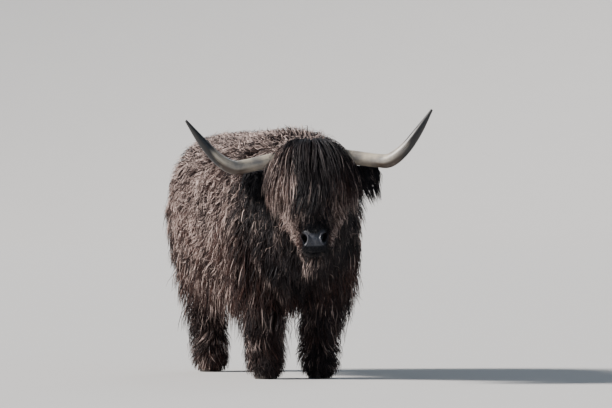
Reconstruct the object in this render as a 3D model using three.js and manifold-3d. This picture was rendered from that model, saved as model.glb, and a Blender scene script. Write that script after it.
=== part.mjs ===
// A highland cow standing square, with its head turned to its right, as a life-size model.
//
// The frame is in millimetres: +Z is up and the cow faces -Y, so its left side is at +X. The origin is on
// the floor, under the middle of the whole model. Each solid reaches out to the tips of the winter coat.
// Every body part is a loft: rings of oval section, set along a spine and grown out of a cylinder's grid.

import * as THREE from "three";
import { mergeVertices } from "three/addons/utils/BufferGeometryUtils.js";
import Module from "manifold-3d";

const wasm = await Module();
wasm.setup();

const UPWARD = [0, 0, 1];
const FORWARD = [0, -1, 0];

// ---- Driving dimensions ----

const GAP = 0.6; // the thin cut left between two neighbouring parts
const STEP_LENGTH = 1040; // from the fore hooves back to the hind hooves
const FORE_STANCE = 131; // each fore hoof's distance from the middle plane
const HIND_STANCE = 138;
const POLL = new THREE.Vector3(-56, -540, 1060); // top of the skull between the horns
const HEAD_YAW = THREE.MathUtils.degToRad(-15); // turned to the cow's right
const HEAD_ROLL = THREE.MathUtils.degToRad(-2.5); // the left horn is carried a little higher
const FACE_PITCH = THREE.MathUtils.degToRad(61); // how steeply the face slopes down from level
const EYE_RADIUS = 19;
const HOOF_HEIGHT = 62;
const HAIR_CLEARANCE = 16; // the leg hair stops this far above the floor

// ---- Materials ----

const coat = new THREE.MeshStandardMaterial({ color: 0x2e2320, roughness: 0.85 });
const nosePad = new THREE.MeshStandardMaterial({ color: 0x2b2a30, roughness: 0.5 });
const udderSkin = new THREE.MeshStandardMaterial({ color: 0x5a4038, roughness: 0.7 });
const hornSheath = new THREE.MeshStandardMaterial({ color: 0xb9b2a4, roughness: 0.4 });
const eyeball = new THREE.MeshStandardMaterial({ color: 0x120c0a, roughness: 0.1 });
const hoofHorn = new THREE.MeshStandardMaterial({ color: 0x1d1a18, roughness: 0.55 });

// ---- Solids ----

// A closed geometry as a manifold solid, moved by an optional matrix.
function solid(geometry, matrix) {
  const bare = geometry.clone();
  bare.deleteAttribute("normal");
  bare.deleteAttribute("uv");
  if (matrix) bare.applyMatrix4(matrix);
  const merged = mergeVertices(bare, 1e-3);
  return new wasm.Manifold(
    new wasm.Mesh({
      numProp: 3,
      vertProperties: new Float32Array(merged.attributes.position.array),
      triVerts: new Uint32Array(merged.index.array),
    }),
  );
}

// A loft: rings set at stations along a spine. A station is { at: [x, y, z], wide, up, down }: up is the
// reach from the spine towards `facing`, down the reach the other way, and wide the half width across both.
// `grow` swells it evenly, which turns a part into the cutter that makes room for it in its neighbour.
function loft(stations, { facing = UPWARD, around = 20, along = 16, square = 2, grow = 0, matrix } = {}) {
  const spine = new THREE.CatmullRomCurve3(stations.map((s) => new THREE.Vector3(...s.at)));
  const reach = new THREE.CatmullRomCurve3(
    stations.map((s) => new THREE.Vector3(s.wide, s.up, s.down)),
  );
  const geometry = new THREE.CylinderGeometry(1, 1, 1, around, along);
  const position = geometry.getAttribute("position");
  const corner = new THREE.Vector3();
  for (let i = 0; i < position.count; i++) {
    corner.fromBufferAttribute(position, i);
    const t = 0.5 - corner.y; // the cylinder's top is the first station
    const tangent = spine.getTangent(t);
    const z = new THREE.Vector3(...facing).projectOnPlane(tangent).normalize();
    const x = new THREE.Vector3().crossVectors(z, tangent);
    const size = reach.getPoint(t);
    const rim = Math.hypot(corner.x, corner.z) > 0.5;
    const round = (c) => Math.sign(c) * Math.abs(c) ** (2 / square);
    const end = t === 0 ? -grow : t === 1 ? grow : 0;
    const place = spine.getPoint(t).addScaledVector(tangent, end);
    if (rim) {
      place.addScaledVector(x, round(corner.x) * (size.x + grow));
      place.addScaledVector(z, round(corner.z) * ((corner.z > 0 ? size.y : size.z) + grow));
    }
    position.setXYZ(i, place.x, place.y, place.z);
  }
  return solid(geometry, matrix);
}

const ellipsoid = (centre, radii, { around = 16, up = 10, matrix } = {}) => {
  const place = new THREE.Matrix4().makeTranslation(...centre).scale(new THREE.Vector3(...radii));
  const moved = matrix ? matrix.clone().multiply(place) : place;
  return solid(new THREE.SphereGeometry(1, around, up), moved);
};

// The half of space on the side of `point` that `normal` points to, as one big box.
function halfSpace(point, normal, matrix) {
  const size = 4000;
  const turn = new THREE.Quaternion().setFromUnitVectors(
    new THREE.Vector3(0, 0, 1),
    new THREE.Vector3(...normal).normalize(),
  );
  const place = new THREE.Matrix4()
    .makeTranslation(...point)
    .multiply(new THREE.Matrix4().makeRotationFromQuaternion(turn))
    .multiply(new THREE.Matrix4().makeTranslation(0, 0, size / 2));
  return solid(new THREE.BoxGeometry(size, size, size), matrix ? matrix.clone().multiply(place) : place);
}

// Parts a solid in two with a thin flat cut: [the side that normal points to, the other side].
function part(whole, point, normal, matrix) {
  const n = new THREE.Vector3(...normal).normalize();
  const beyond = new THREE.Vector3(...point).addScaledVector(n, GAP).toArray();
  return [
    whole.intersect(halfSpace(beyond, normal, matrix)),
    whole.subtract(halfSpace(point, normal, matrix)),
  ];
}

const without = (whole, ...cutters) => cutters.reduce((rest, cutter) => rest.subtract(cutter), whole);

// ---- Trunk, neck and tail ----

const ring = (x, y, z, wide, up, down) => ({ at: [x, y, z], wide, up, down });

function trunkLoft() {
  return loft(
    [
      ring(0, -318, 690, 50, 60, 70),
      ring(0, -282, 695, 160, 185, 225),
      ring(0, -175, 715, 258, 350, 380),
      ring(0, -10, 750, 306, 448, 462),
      ring(0, 210, 750, 342, 424, 438),
      ring(0, 450, 745, 368, 422, 424),
      ring(0, 700, 755, 378, 420, 392),
      ring(0, 930, 785, 370, 402, 352),
      ring(0, 1100, 825, 345, 358, 328),
      ring(0, 1215, 852, 274, 284, 280),
      ring(0, 1270, 862, 110, 130, 140),
    ],
    { around: 24, along: 14, square: 2.6 },
  );
}

function neckLoft() {
  return loft(
    [
      ring(0, 40, 850, 190, 250, 330),
      ring(-5, -160, 850, 232, 302, 385),
      ring(-20, -330, 865, 222, 272, 345),
      ring(-35, -470, 885, 186, 232, 262),
      ring(-42, -560, 905, 110, 150, 160),
    ],
    { around: 20, along: 8 },
  );
}

const TAIL_ROOT = 1238; // how far back the tail leaves the rump
const SWITCH_TOP = 620; // height where the tail's long brush of hair begins

function tailLoft(grow = 0) {
  const back = TAIL_ROOT + 68;
  return loft(
    [
      ring(0, TAIL_ROOT - 90, 1082, 26, 22, 22),
      ring(0, TAIL_ROOT, 1078, 42, 38, 38),
      ring(0, back, 1000, 40, 36, 36),
      ring(0, back + 14, 820, 36, 32, 32),
      ring(0, back + 8, SWITCH_TOP, 46, 38, 38),
      ring(0, back, 450, 64, 48, 48),
      ring(0, back - 4, 320, 52, 40, 40),
      ring(0, back - 6, 236, 14, 12, 12),
    ],
    { facing: [0, 1, 0.6], around: 12, along: 12, grow },
  );
}

// ---- Legs and hooves ----

// sideSign is +1 for the cow's left and -1 for its right.
function foreLegLoft(sideSign, grow = 0) {
  const foot = sideSign * FORE_STANCE;
  return loft(
    [
      ring(sideSign * 178, 15, 900, 60, 90, 90),
      ring(sideSign * 196, 5, 800, 122, 160, 150),
      ring(sideSign * 204, -15, 660, 150, 172, 165),
      ring(sideSign * 188, -18, 520, 152, 152, 150),
      ring(sideSign * 160, -10, 400, 138, 130, 135),
      ring(sideSign * 143, -4, 290, 128, 116, 124),
      ring(foot + sideSign * 4, -4, 180, 106, 100, 108),
      ring(foot, -8, 80, 89, 96, 98),
      ring(foot, -10, HAIR_CLEARANCE, 84, 94, 90),
    ],
    { facing: FORWARD, around: 14, along: 9, grow },
  );
}

function hindLegLoft(sideSign, grow = 0) {
  const foot = sideSign * HIND_STANCE;
  return loft(
    [
      ring(sideSign * 150, 985, 990, 80, 130, 120),
      ring(sideSign * 182, 990, 860, 150, 215, 190),
      ring(sideSign * 200, 1000, 700, 158, 215, 196),
      ring(sideSign * 190, 1032, 560, 142, 178, 166),
      ring(sideSign * 168, 1072, 430, 124, 134, 136),
      ring(foot + sideSign * 12, 1082, 320, 110, 112, 122),
      ring(foot + sideSign * 4, 1062, 190, 106, 100, 108),
      ring(foot, STEP_LENGTH + 4, 80, 100, 98, 100),
      ring(foot, STEP_LENGTH - 2, HAIR_CLEARANCE, 92, 94, 92),
    ],
    { facing: FORWARD, around: 14, along: 9, grow },
  );
}

// One claw of a cloven hoof: a D-shaped block with a flat sole, its wall leaning back to the hairline.
function claw(x, y, claws, grow = 0) {
  const outer = Math.sign(claws);
  const sole = new THREE.Shape();
  sole.moveTo(outer * -22, 46);
  sole.lineTo(outer * -23, -38);
  sole.quadraticCurveTo(outer * -20, -66, outer * -8, -70);
  sole.quadraticCurveTo(outer * 20, -58, outer * 25, -10);
  sole.quadraticCurveTo(outer * 27, 34, outer * 10, 52);
  sole.quadraticCurveTo(outer * -8, 58, outer * -22, 46);
  const block = new THREE.ExtrudeGeometry(sole, {
    depth: HOOF_HEIGHT,
    steps: 1,
    bevelEnabled: false,
    curveSegments: 3,
  });
  const position = block.getAttribute("position");
  for (let i = 0; i < position.count; i++) {
    const rise = position.getZ(i) / HOOF_HEIGHT;
    const inward = 1 - 0.16 * rise;
    const toe = position.getY(i) < 0 ? 1 - 0.42 * rise : 1 - 0.1 * rise;
    const span = 1 + grow / 30;
    position.setX(i, position.getX(i) * inward * span + x + outer * 26);
    position.setY(i, position.getY(i) * toe * span + y);
    position.setZ(i, rise === 1 ? HOOF_HEIGHT + grow : position.getZ(i) - grow);
  }
  return solid(block);
}

// ---- Head ----

const headPose = new THREE.Matrix4()
  .makeTranslation(POLL.x, POLL.y, POLL.z)
  .multiply(new THREE.Matrix4().makeRotationZ(HEAD_YAW))
  .multiply(new THREE.Matrix4().makeRotationY(HEAD_ROLL));

// A point on the head: `along` the face from the poll to the nose, `out` from the face's front, and `x` to
// the left.
function onFace(x, along, out) {
  return [
    x,
    -along * Math.cos(FACE_PITCH) - out * Math.sin(FACE_PITCH),
    -along * Math.sin(FACE_PITCH) + out * Math.cos(FACE_PITCH),
  ];
}

const OUT_OF_FACE = onFace(0, 0, 1);
const faceRing = (along, wide, up, down, out = 0) => ({ at: onFace(0, along, out), wide, up, down });

function headLoft(grow = 0) {
  return loft(
    [
      faceRing(-82, 40, 20, 30),
      faceRing(-58, 124, 50, 84),
      faceRing(-5, 184, 72, 150),
      faceRing(85, 190, 72, 198),
      faceRing(175, 180, 66, 212),
      faceRing(262, 152, 58, 204),
      faceRing(340, 112, 50, 176),
      faceRing(405, 84, 44, 142),
      faceRing(455, 76, 46, 122, -4),
      faceRing(494, 68, 50, 88, -32),
      faceRing(514, 36, 28, 40, -66),
    ],
    { facing: OUT_OF_FACE, around: 16, along: 13, square: 2.2, matrix: headPose, grow },
  );
}

// The long forelock, a curtain of hair that falls from the poll over the eyes to the bridge of the nose.
function forelockLoft() {
  return loft(
    [
      faceRing(-76, 30, 16, 30),
      faceRing(-48, 118, 62, 60),
      faceRing(20, 172, 98, 60),
      faceRing(110, 178, 100, 60),
      faceRing(200, 156, 90, 60),
      faceRing(280, 108, 74, 50),
      faceRing(338, 56, 58, 40),
      faceRing(356, 16, 44, 20),
    ],
    { facing: OUT_OF_FACE, around: 12, along: 6, matrix: headPose },
  );
}

const JAW_CUT = { along: 486, out: -38 }; // the corner where the mouth opens at the front of the lips
const MOUTH_SLOPE = THREE.MathUtils.degToRad(10);
const MUZZLE_START = 392; // the bare and short-haired end of the face begins here

function hornLoft(sideSign, grow = 0) {
  const path = [
    [62, 4, -8, 33],
    [130, 2, -14, 34],
    [206, -14, -26, 33],
    [310, -48, -44, 32],
    [368, -74, -44, 32.5],
    [436, -102, 4, 27],
    [502, -114, 84, 18],
    [570, -104, 182, 3.5],
  ];
  const stations = path.map(([x, y, z, r]) => ring(sideSign * x, y, z, r, r, r));
  return loft(stations, { facing: FORWARD, around: 10, along: 14, matrix: headPose, grow });
}

function earLoft(sideSign, grow = 0) {
  const stations = [
    ring(sideSign * 110, 40, -86, 18, 20, 26),
    ring(sideSign * 160, 36, -94, 27, 30, 60),
    ring(sideSign * 220, 26, -104, 30, 34, 110),
    ring(sideSign * 272, 14, -112, 26, 32, 118),
    ring(sideSign * 306, 4, -118, 18, 22, 82),
    ring(sideSign * 322, 0, -122, 6, 8, 20),
  ];
  return loft(stations, { around: 12, along: 8, matrix: headPose, grow });
}

const EYE = { x: 94, along: 168, out: 2 };
const eyePlace = (sideSign) => onFace(sideSign * EYE.x, EYE.along, EYE.out);

const eyeSolid = (sideSign, grow = 0) =>
  ellipsoid(eyePlace(sideSign), Array(3).fill(EYE_RADIUS + grow), { around: 12, up: 7, matrix: headPose });

// The socket of an eye, and the opening that parts the hair in front of it, widening outwards.
function socketSolid(sideSign) {
  const [x, y, z] = eyePlace(sideSign);
  const outward = new THREE.Vector3(sideSign * 0.86, -0.48, 0.02).normalize();
  const station = (d, r) => ({
    at: [x + outward.x * d, y + outward.y * d, z + outward.z * d],
    wide: r,
    up: r,
    down: r,
  });
  const opening = loft([station(0, EYE_RADIUS + 1), station(60, 32), station(150, 56)], {
    around: 10,
    along: 2,
    matrix: headPose,
  });
  return opening.add(eyeSolid(sideSign, GAP));
}

function nostril(sideSign) {
  return ellipsoid(onFace(sideSign * 40, 456, 32), [15, 16, 16], { around: 10, up: 6, matrix: headPose });
}

// ---- The cow, part by part ----

const cow = new THREE.Group();

// Adds a solid to the model as a named mesh.
function add(name, shape, material) {
  const { vertProperties, triVerts, numProp } = shape.getMesh();
  const places = new Float32Array((vertProperties.length / numProp) * 3);
  for (let i = 0; i < places.length / 3; i++) {
    places.set(vertProperties.subarray(i * numProp, i * numProp + 3), i * 3);
  }
  const geometry = new THREE.BufferGeometry();
  geometry.setAttribute("position", new THREE.BufferAttribute(places, 3));
  geometry.setIndex(new THREE.BufferAttribute(triVerts, 1));
  geometry.computeVertexNormals();
  const mesh = new THREE.Mesh(geometry, material);
  mesh.name = name;
  cow.add(mesh);
}

const SIDES = { left: 1, right: -1 };
const sides = Object.entries(SIDES);
const legCutters = sides.flatMap(([, sign]) => [foreLegLoft(sign, GAP), hindLegLoft(sign, GAP)]);

function addTrunkAndNeck() {
  const neckAndTrunk = { point: [0, -205, 800], normal: [0, -1, 0.28] };
  const whole = trunkLoft().add(neckLoft());
  const [front, rear] = part(whole, neckAndTrunk.point, neckAndTrunk.normal);
  add("trunk", without(rear, ...legCutters, tailLoft(GAP), udderSolid(GAP)), coat);
  const ears = sides.map(([, sign]) => earLoft(sign, GAP));
  add("neck", without(front, ...legCutters, headLoft(GAP), ...ears), coat);
}

function addTail() {
  const [dock, brush] = part(tailLoft(), [0, TAIL_ROOT + 70, SWITCH_TOP], [0, 0, 1]);
  add("tail", dock, coat);
  add("tail_switch", brush, coat);
}

function udderSolid(grow = 0) {
  const y = STEP_LENGTH - 190;
  const z = 430;
  let bag = ellipsoid([0, y, z], [104 + grow, 112 + grow, 72 + grow], { around: 12, up: 7 });
  for (const [, sign] of sides) {
    for (const shift of [-38, 34]) {
      const teat = [13 + grow, 13 + grow, 30 + grow];
      bag = bag.add(ellipsoid([sign * 42, y + shift, z - 66], teat, { around: 6, up: 5 }));
    }
  }
  return bag;
}

function addLeg(name, shape, foot, cutHeight, slope, ownCutters) {
  const clawSigns = [1, -1];
  const claws = clawSigns.map((sign) => claw(foot.x, foot.y, sign, GAP));
  const haired = without(shape, ...claws, ...ownCutters);
  const [upper, lower] = part(haired, [foot.x, foot.y, cutHeight], [0, slope, 1]);
  add(`upper_${name}`, upper, coat);
  add(`lower_${name}`, lower, coat);
  for (const sign of clawSigns) {
    const place = Math.sign(foot.x) === sign ? "outer" : "inner";
    add(`claw_${name}_${place}`, claw(foot.x, foot.y, sign), hoofHorn);
  }
}

function addLegs() {
  for (const [side, sign] of sides) {
    addLeg(`foreleg_${side}`, foreLegLoft(sign), { x: sign * FORE_STANCE, y: -12 }, 330, 0, []);
    const hind = { x: sign * HIND_STANCE, y: STEP_LENGTH - 6 };
    addLeg(`hindleg_${side}`, hindLegLoft(sign), hind, 400, 0.25, [udderSolid(GAP)]);
  }
}

function addHead() {
  let whole = headLoft().add(forelockLoft());
  for (const [side, sign] of sides) {
    whole = without(whole, hornLoft(sign, GAP), earLoft(sign, GAP), socketSolid(sign), nostril(sign));
    add(`horn_${side}`, hornLoft(sign), hornSheath);
    add(`ear_${side}`, earLoft(sign).subtract(hornLoft(sign, GAP)), coat);
    add(`eye_${side}`, eyeSolid(sign), eyeball);
  }
  const slope = FACE_PITCH - MOUTH_SLOPE;
  const mouthNormal = [0, Math.sin(slope), -Math.cos(slope)];
  const [jaw, face] = part(whole, onFace(0, JAW_CUT.along, JAW_CUT.out), mouthNormal, headPose);
  const noseward = onFace(0, 1, 0);
  const [muzzle, head] = part(face, onFace(0, MUZZLE_START, 0), noseward, headPose);
  add("head", head, coat);
  add("muzzle", muzzle, nosePad);
  add("jaw", jaw, coat);
}

addTrunkAndNeck();
addTail();
add("udder", udderSolid(), udderSkin);
addLegs();
addHead();

// Brings the middle of the whole model over the origin.
const box = new THREE.Box3().setFromObject(cow);
const middle = box.getCenter(new THREE.Vector3());
cow.position.set(-middle.x, -middle.y, 0);

export default cow;
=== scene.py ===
"""A highland cow in its winter coat: skin, coat, horns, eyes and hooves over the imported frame.

Sizes are in millimetres where a name ends in _MM or a docstring says so, and in metres elsewhere.
The cow faces -Y, its left side is at +X, and the floor is at z = 0.
"""

import logging
import math
from collections.abc import Callable, Iterable
from dataclasses import dataclass, field
from enum import Enum

import bmesh
import bpy
import numpy as np
from mathutils import Matrix, Vector
from mathutils.bvhtree import BVHTree
from mathutils.kdtree import KDTree


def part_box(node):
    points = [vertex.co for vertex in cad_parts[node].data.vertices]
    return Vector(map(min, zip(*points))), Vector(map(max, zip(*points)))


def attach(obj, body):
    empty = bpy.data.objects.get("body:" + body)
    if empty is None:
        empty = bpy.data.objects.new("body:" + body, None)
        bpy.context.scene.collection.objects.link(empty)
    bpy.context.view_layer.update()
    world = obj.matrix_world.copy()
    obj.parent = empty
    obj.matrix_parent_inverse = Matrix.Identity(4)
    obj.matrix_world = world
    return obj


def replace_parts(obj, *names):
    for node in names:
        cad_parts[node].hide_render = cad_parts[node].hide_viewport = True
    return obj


Array = np.ndarray
Mesh = bpy.types.Mesh
Material = bpy.types.Material
Socket = bpy.types.NodeSocket
Colour = tuple[float, float, float]
Span = tuple[float, float]
Value = Socket | float | Colour
Rows = tuple[tuple[float, ...], ...]

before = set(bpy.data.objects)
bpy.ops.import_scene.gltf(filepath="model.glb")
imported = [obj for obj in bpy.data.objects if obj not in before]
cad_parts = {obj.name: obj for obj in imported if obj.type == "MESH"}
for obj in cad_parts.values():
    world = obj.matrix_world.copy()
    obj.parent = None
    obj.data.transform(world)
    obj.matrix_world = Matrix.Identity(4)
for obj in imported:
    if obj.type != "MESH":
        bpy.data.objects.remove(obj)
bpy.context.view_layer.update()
MM = 0.001
log = logging.getLogger("highland_cow")


# ---------------- where the cow stands


class Side(Enum):
    """The cow's two sides, by the sign of X."""

    LEFT = 1
    RIGHT = -1

    @property
    def word(self) -> str:
        """The side's name as the frame's nodes spell it."""
        return self.name.lower()


def middle_of(*nodes: str) -> Vector:
    """Finds the middle of the box round some CAD nodes.

    Args:
        nodes: names of nodes in the frame.

    Returns:
        The middle of their shared box, in metres.
    """
    corners = [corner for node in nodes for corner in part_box(node)]
    low = Vector(min(c[i] for c in corners) for i in range(3))
    high = Vector(max(c[i] for c in corners) for i in range(3))
    return (low + high) / 2


@dataclass(frozen=True)
class Stance:
    """The body's own axes: the middle plane and the line of the fore feet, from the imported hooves."""

    hoof_lead: float = 0.020  # the claws' middles stand this far ahead of the leg's own line

    @property
    def origin(self) -> Vector:
        """The floor point between the fore feet, under the legs' line."""
        middle = middle_of(*(f"claw_foreleg_{s.word}_{place}" for s in Side for place in ("inner", "outer")))
        return Vector((middle.x, middle.y + self.hoof_lead, 0.0))

    def place(self, at: Iterable[float]) -> Vector:
        """Turns body coordinates in millimetres into a point of the frame."""
        return self.origin + Vector(at) * MM


@dataclass(frozen=True)
class HeadPose:
    """The head's own axes: across it, along the face to the nose, and out of the face."""

    face_pitch: float = math.radians(61)  # how steeply the face slopes down from level
    eye_along: float = 168 * MM  # how far the eyes are below the poll, along the face
    eye_out: float = 2 * MM

    @property
    def turn(self) -> Matrix:
        """The head's yaw and roll, read from the line through its eyes."""
        x, y, z = (middle_of("eye_left") - middle_of("eye_right")).normalized()
        return Matrix.Rotation(math.atan2(y, x), 3, "Z") @ Matrix.Rotation(-math.asin(z), 3, "Y")

    @property
    def axes(self) -> Matrix:
        """A matrix whose columns are the across, along and out directions."""
        c, s = math.cos(self.face_pitch), math.sin(self.face_pitch)
        return self.turn @ Matrix(((1, 0, 0), (0, -c, -s), (0, -s, c)))

    @property
    def poll(self) -> Vector:
        """The top of the skull between the horns."""
        eyes = middle_of("eye_left", "eye_right")
        return eyes - self.axes @ Vector((0, self.eye_along, self.eye_out))

    def place(self, at: Iterable[float]) -> Vector:
        """Turns (across, along, out) in millimetres into a point of the frame."""
        return self.poll + self.axes @ (Vector(at) * MM)

    def level(self, at: Iterable[float]) -> Vector:
        """Turns (across, back, up) of the unpitched head, in millimetres, into a point of the frame."""
        return self.poll + self.turn @ (Vector(at) * MM)

    def local(self, points: Array) -> Array:
        """Turns an N by 3 array of frame points into (across, along, out) in millimetres."""
        return (points - np.array(self.poll)) @ np.array(self.axes) / MM


STANCE = Stance()
HEAD = HeadPose()


# ---------------- small helpers


def unit(vectors: Array) -> Array:
    """Scales the vectors along an array's last axis to length one."""
    return vectors / np.maximum(np.linalg.norm(vectors, axis=-1, keepdims=True), 1e-9)


def smooth(low: float, high: float, value: Array) -> Array:
    """A smooth step from 0 at low to 1 at high, which may be below low."""
    t = np.clip((value - low) / (high - low), 0.0, 1.0)
    return t * t * (3 - 2 * t)


def spline(points: Array, count: int) -> Array:
    """Samples a Catmull-Rom curve through rows of numbers at even steps.

    Args:
        points: one row per station.
        count: how many samples to take.

    Returns:
        The sampled rows.
    """
    padded = np.vstack([2 * points[0] - points[1], points, 2 * points[-1] - points[-2]])
    at = np.linspace(0, len(points) - 1, count)
    k = np.minimum(at.astype(int), len(points) - 2)
    t = (at - k)[:, None]
    a, b, c, d = (padded[k + i] for i in range(4))
    curve = 2 * b + (c - a) * t + (2 * a - 5 * b + 4 * c - d) * t**2 + (3 * b - a - 3 * c + d) * t**3
    return curve / 2


def finish_piece(name: str, mesh: Mesh, material: Material) -> bpy.types.Object:
    """Links a mesh into the scene as a finished piece of the cow, and reports it.

    Args:
        name: the piece's name.
        mesh: its mesh, in the frame's own place.
        material: what it is made of.

    Returns:
        The new object.
    """
    mesh.name = name
    mesh.materials.clear()
    mesh.materials.append(material)
    piece = bpy.data.objects.new(name, mesh)
    bpy.context.scene.collection.objects.link(piece)
    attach(piece, "root")
    log.info("%s: %d triangles", name, len(mesh.loops) - 2 * len(mesh.polygons))
    return piece


def mesh_of(bm: bmesh.types.BMesh, name: str) -> Mesh:
    """Turns a bmesh into a smooth-shaded mesh and frees it.

    Args:
        bm: the bmesh.
        name: the name that the mesh gets.

    Returns:
        The mesh.
    """
    bmesh.ops.recalc_face_normals(bm, faces=bm.faces)
    for face in bm.faces:
        face.smooth = True
    mesh = bpy.data.meshes.new(name)
    bm.to_mesh(mesh)
    bm.free()
    return mesh


def applied(mesh: Mesh, *modifiers: tuple[str, dict]) -> Mesh:
    """Runs modifiers on a mesh and returns the result as a new mesh.

    Args:
        mesh: the mesh to start from, which is removed.
        modifiers: pairs of a modifier type and its settings.

    Returns:
        The changed mesh.
    """
    carrier = bpy.data.objects.new("carrier", mesh)
    bpy.context.scene.collection.objects.link(carrier)
    for kind, settings in modifiers:
        modifier = carrier.modifiers.new(kind.title(), kind)
        for key, value in settings.items():
            setattr(modifier, key, value)
    graph = bpy.context.evaluated_depsgraph_get()
    result = bpy.data.meshes.new_from_object(carrier.evaluated_get(graph))
    bpy.data.objects.remove(carrier)
    bpy.data.meshes.remove(mesh)
    return result


def read(items: bpy.types.bpy_prop_collection, name: str, kind: type = np.float32) -> Array:
    """Reads three numbers for each of a mesh's items.

    Args:
        items: its vertices, normals or triangles.
        name: what the numbers are called.
        kind: what they are read as.

    Returns:
        An N by 3 array.
    """
    values = np.empty(len(items) * 3, dtype=kind)
    items.foreach_get(name, values)
    return values.reshape(-1, 3)


def points_of(mesh: Mesh) -> Array:
    """Reads a mesh's vertices as an N by 3 array."""
    return read(mesh.vertices, "co").astype(float)


def normals_of(mesh: Mesh) -> Array:
    """Reads a mesh's vertex normals as an N by 3 array."""
    return read(mesh.vertex_normals, "vector").astype(float)


def triangles_of(mesh: Mesh) -> Array:
    """Reads a mesh's triangles as an N by 3 array of vertex numbers."""
    mesh.calc_loop_triangles()
    return read(mesh.loop_triangles, "vertices", np.int32)


def move_to(mesh: Mesh, points: Array) -> None:
    """Writes an N by 3 array back as a mesh's vertices."""
    mesh.vertices.foreach_set("co", points.astype(np.float32).ravel())
    mesh.update()


# ---------------- finishes


class Recipe:
    """A material being mixed, with short names for the nodes that a finish needs."""

    def __init__(self, name: str, **settings: float) -> None:
        """Starts a material.

        Args:
            name: the material's name.
            settings: values for the shader's own sockets, with _ for each space in their names.
        """
        self.material = bpy.data.materials.new(name)
        self.material.use_nodes = True
        self.tree = self.material.node_tree
        self.shader = self.tree.nodes["Principled BSDF"]
        for socket, value in settings.items():
            self.shader.inputs[socket.replace("_", " ")].default_value = value

    def node(self, kind: str, *inputs: Value, **settings: object) -> bpy.types.Node:
        """Adds a node.

        Args:
            kind: its type.
            inputs: what its first sockets take, in order.
            settings: its own settings.

        Returns:
            The node.
        """
        node = self.tree.nodes.new(f"ShaderNode{kind}")
        for key, value in settings.items():
            setattr(node, key, value)
        for value, socket in zip(inputs, node.inputs):
            self.put(value, socket)
        return node

    def put(self, value: Value, socket: Socket) -> None:
        """Feeds a socket.

        Args:
            value: another socket to link, or a plain number or colour to set.
            socket: the socket to feed.
        """
        if isinstance(value, Socket):
            self.tree.links.new(value, socket)
        elif isinstance(value, tuple) and socket.type == "RGBA":
            socket.default_value = (*value, 1.0)
        else:
            socket.default_value = value

    def mix(self, factor: Value, one: Value, other: Value, blend: str = "MIX") -> Socket:
        """Blends two colours.

        Args:
            factor: how much of the other shows, from 0 to 1.
            one: the first colour.
            other: the second.
            blend: how they blend.

        Returns:
            The blended colour.
        """
        node = self.node("Mix", data_type="RGBA", blend_type=blend)
        colours = [socket for socket in node.inputs if socket.type == "RGBA"]
        for value, socket in zip((factor, one, other), (node.inputs["Factor"], *colours)):
            self.put(value, socket)
        return next(socket for socket in node.outputs if socket.type == "RGBA")

    def maths(self, operation: str, one: Value, other: Value = 0.0) -> Socket:
        """Does one sum, and keeps its result between 0 and 1."""
        return self.node("Math", one, other, operation=operation, use_clamp=True).outputs[0]

    def times(self, one: Value, other: Value) -> Socket:
        """Multiplies two numbers."""
        return self.maths("MULTIPLY", one, other)

    def darker(self, colour: Value, by: float) -> Socket:
        """Multiplies a colour by a number below 1."""
        return self.mix(1.0, colour, (by,) * 3, "MULTIPLY")

    def between(self, factor: Value, one: float, other: float) -> Socket:
        """Goes from one number to another as the factor rises to 1."""
        return self.mix(factor, (one,) * 3, (other,) * 3)

    def step(self, value: Value, low: float, high: float) -> Socket:
        """Rises smoothly from 0 at low to 1 at high."""
        return self.node("MapRange", value, low, high, interpolation_type="SMOOTHSTEP").outputs[0]

    def sum_step(self, one: Value, other: Value, low: float, high: float) -> Socket:
        """Rises smoothly from 0 where two numbers add up to low, to 1 where they add up to high."""
        return self.step(self.node("Math", one, other, operation="ADD").outputs[0], low, high)

    def scaled(self, value: Value, by: float, plus: float = 0.0) -> Socket:
        """Multiplies a number, adds to it, and keeps it between 0 and 1."""
        return self.node("Math", value, by, plus, operation="MULTIPLY_ADD", use_clamp=True).outputs[0]

    def pair(self, x: Value, y: Value) -> Socket:
        """Makes a vector of two numbers."""
        return self.node("CombineXYZ", x, y).outputs[0]

    def place(self) -> Socket:
        """Gives places in the piece's own coordinates."""
        return self.node("TexCoord").outputs["Object"]

    def stretched(self, vector: Value, scale: Colour) -> Socket:
        """Scales a vector along its axes."""
        still = (0.0, 0.0, 0.0)
        return self.node("Mapping", vector, still, still, scale).outputs[0]

    def noise(self, vector: Value, scale: float, detail: float = 3.0) -> Socket:
        """Gives a cloudy pattern from 0 to 1."""
        return self.node("TexNoise", vector, 0.0, scale, detail).outputs["Fac"]

    def cells(self, vector: Value, scale: float) -> Socket:
        """Gives a pebbled pattern, 0 in the middle of each pebble."""
        return self.node("TexVoronoi", vector, 0.0, scale, feature="F1").outputs["Distance"]

    def attribute(self, name: str) -> tuple[Socket, ...]:
        """Reads the four numbers of a point's own attribute."""
        source = self.node("Attribute", attribute_name=name).outputs
        return (*self.node("SeparateColor", source["Color"]).outputs, source["Alpha"])

    def bump(self, height: Value, distance: float) -> Socket:
        """Raises a surface by a height between 0 and 1, over a distance in metres.

        Args:
            height: the height.
            distance: how far a height of 1 stands out.

        Returns:
            The surface's new normals.
        """
        node = self.node("Bump")
        node.inputs["Distance"].default_value = distance
        self.put(height, node.inputs["Height"])
        return node.outputs[0]

    def dress(self, **sockets: Value) -> Material:
        """Feeds the shader, and returns the finished material.

        Args:
            sockets: what its sockets take, with _ for each space in their names.

        Returns:
            The material.
        """
        for socket, value in sockets.items():
            self.put(value, self.shader.inputs[socket.replace("_", " ")])
        return self.material


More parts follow.
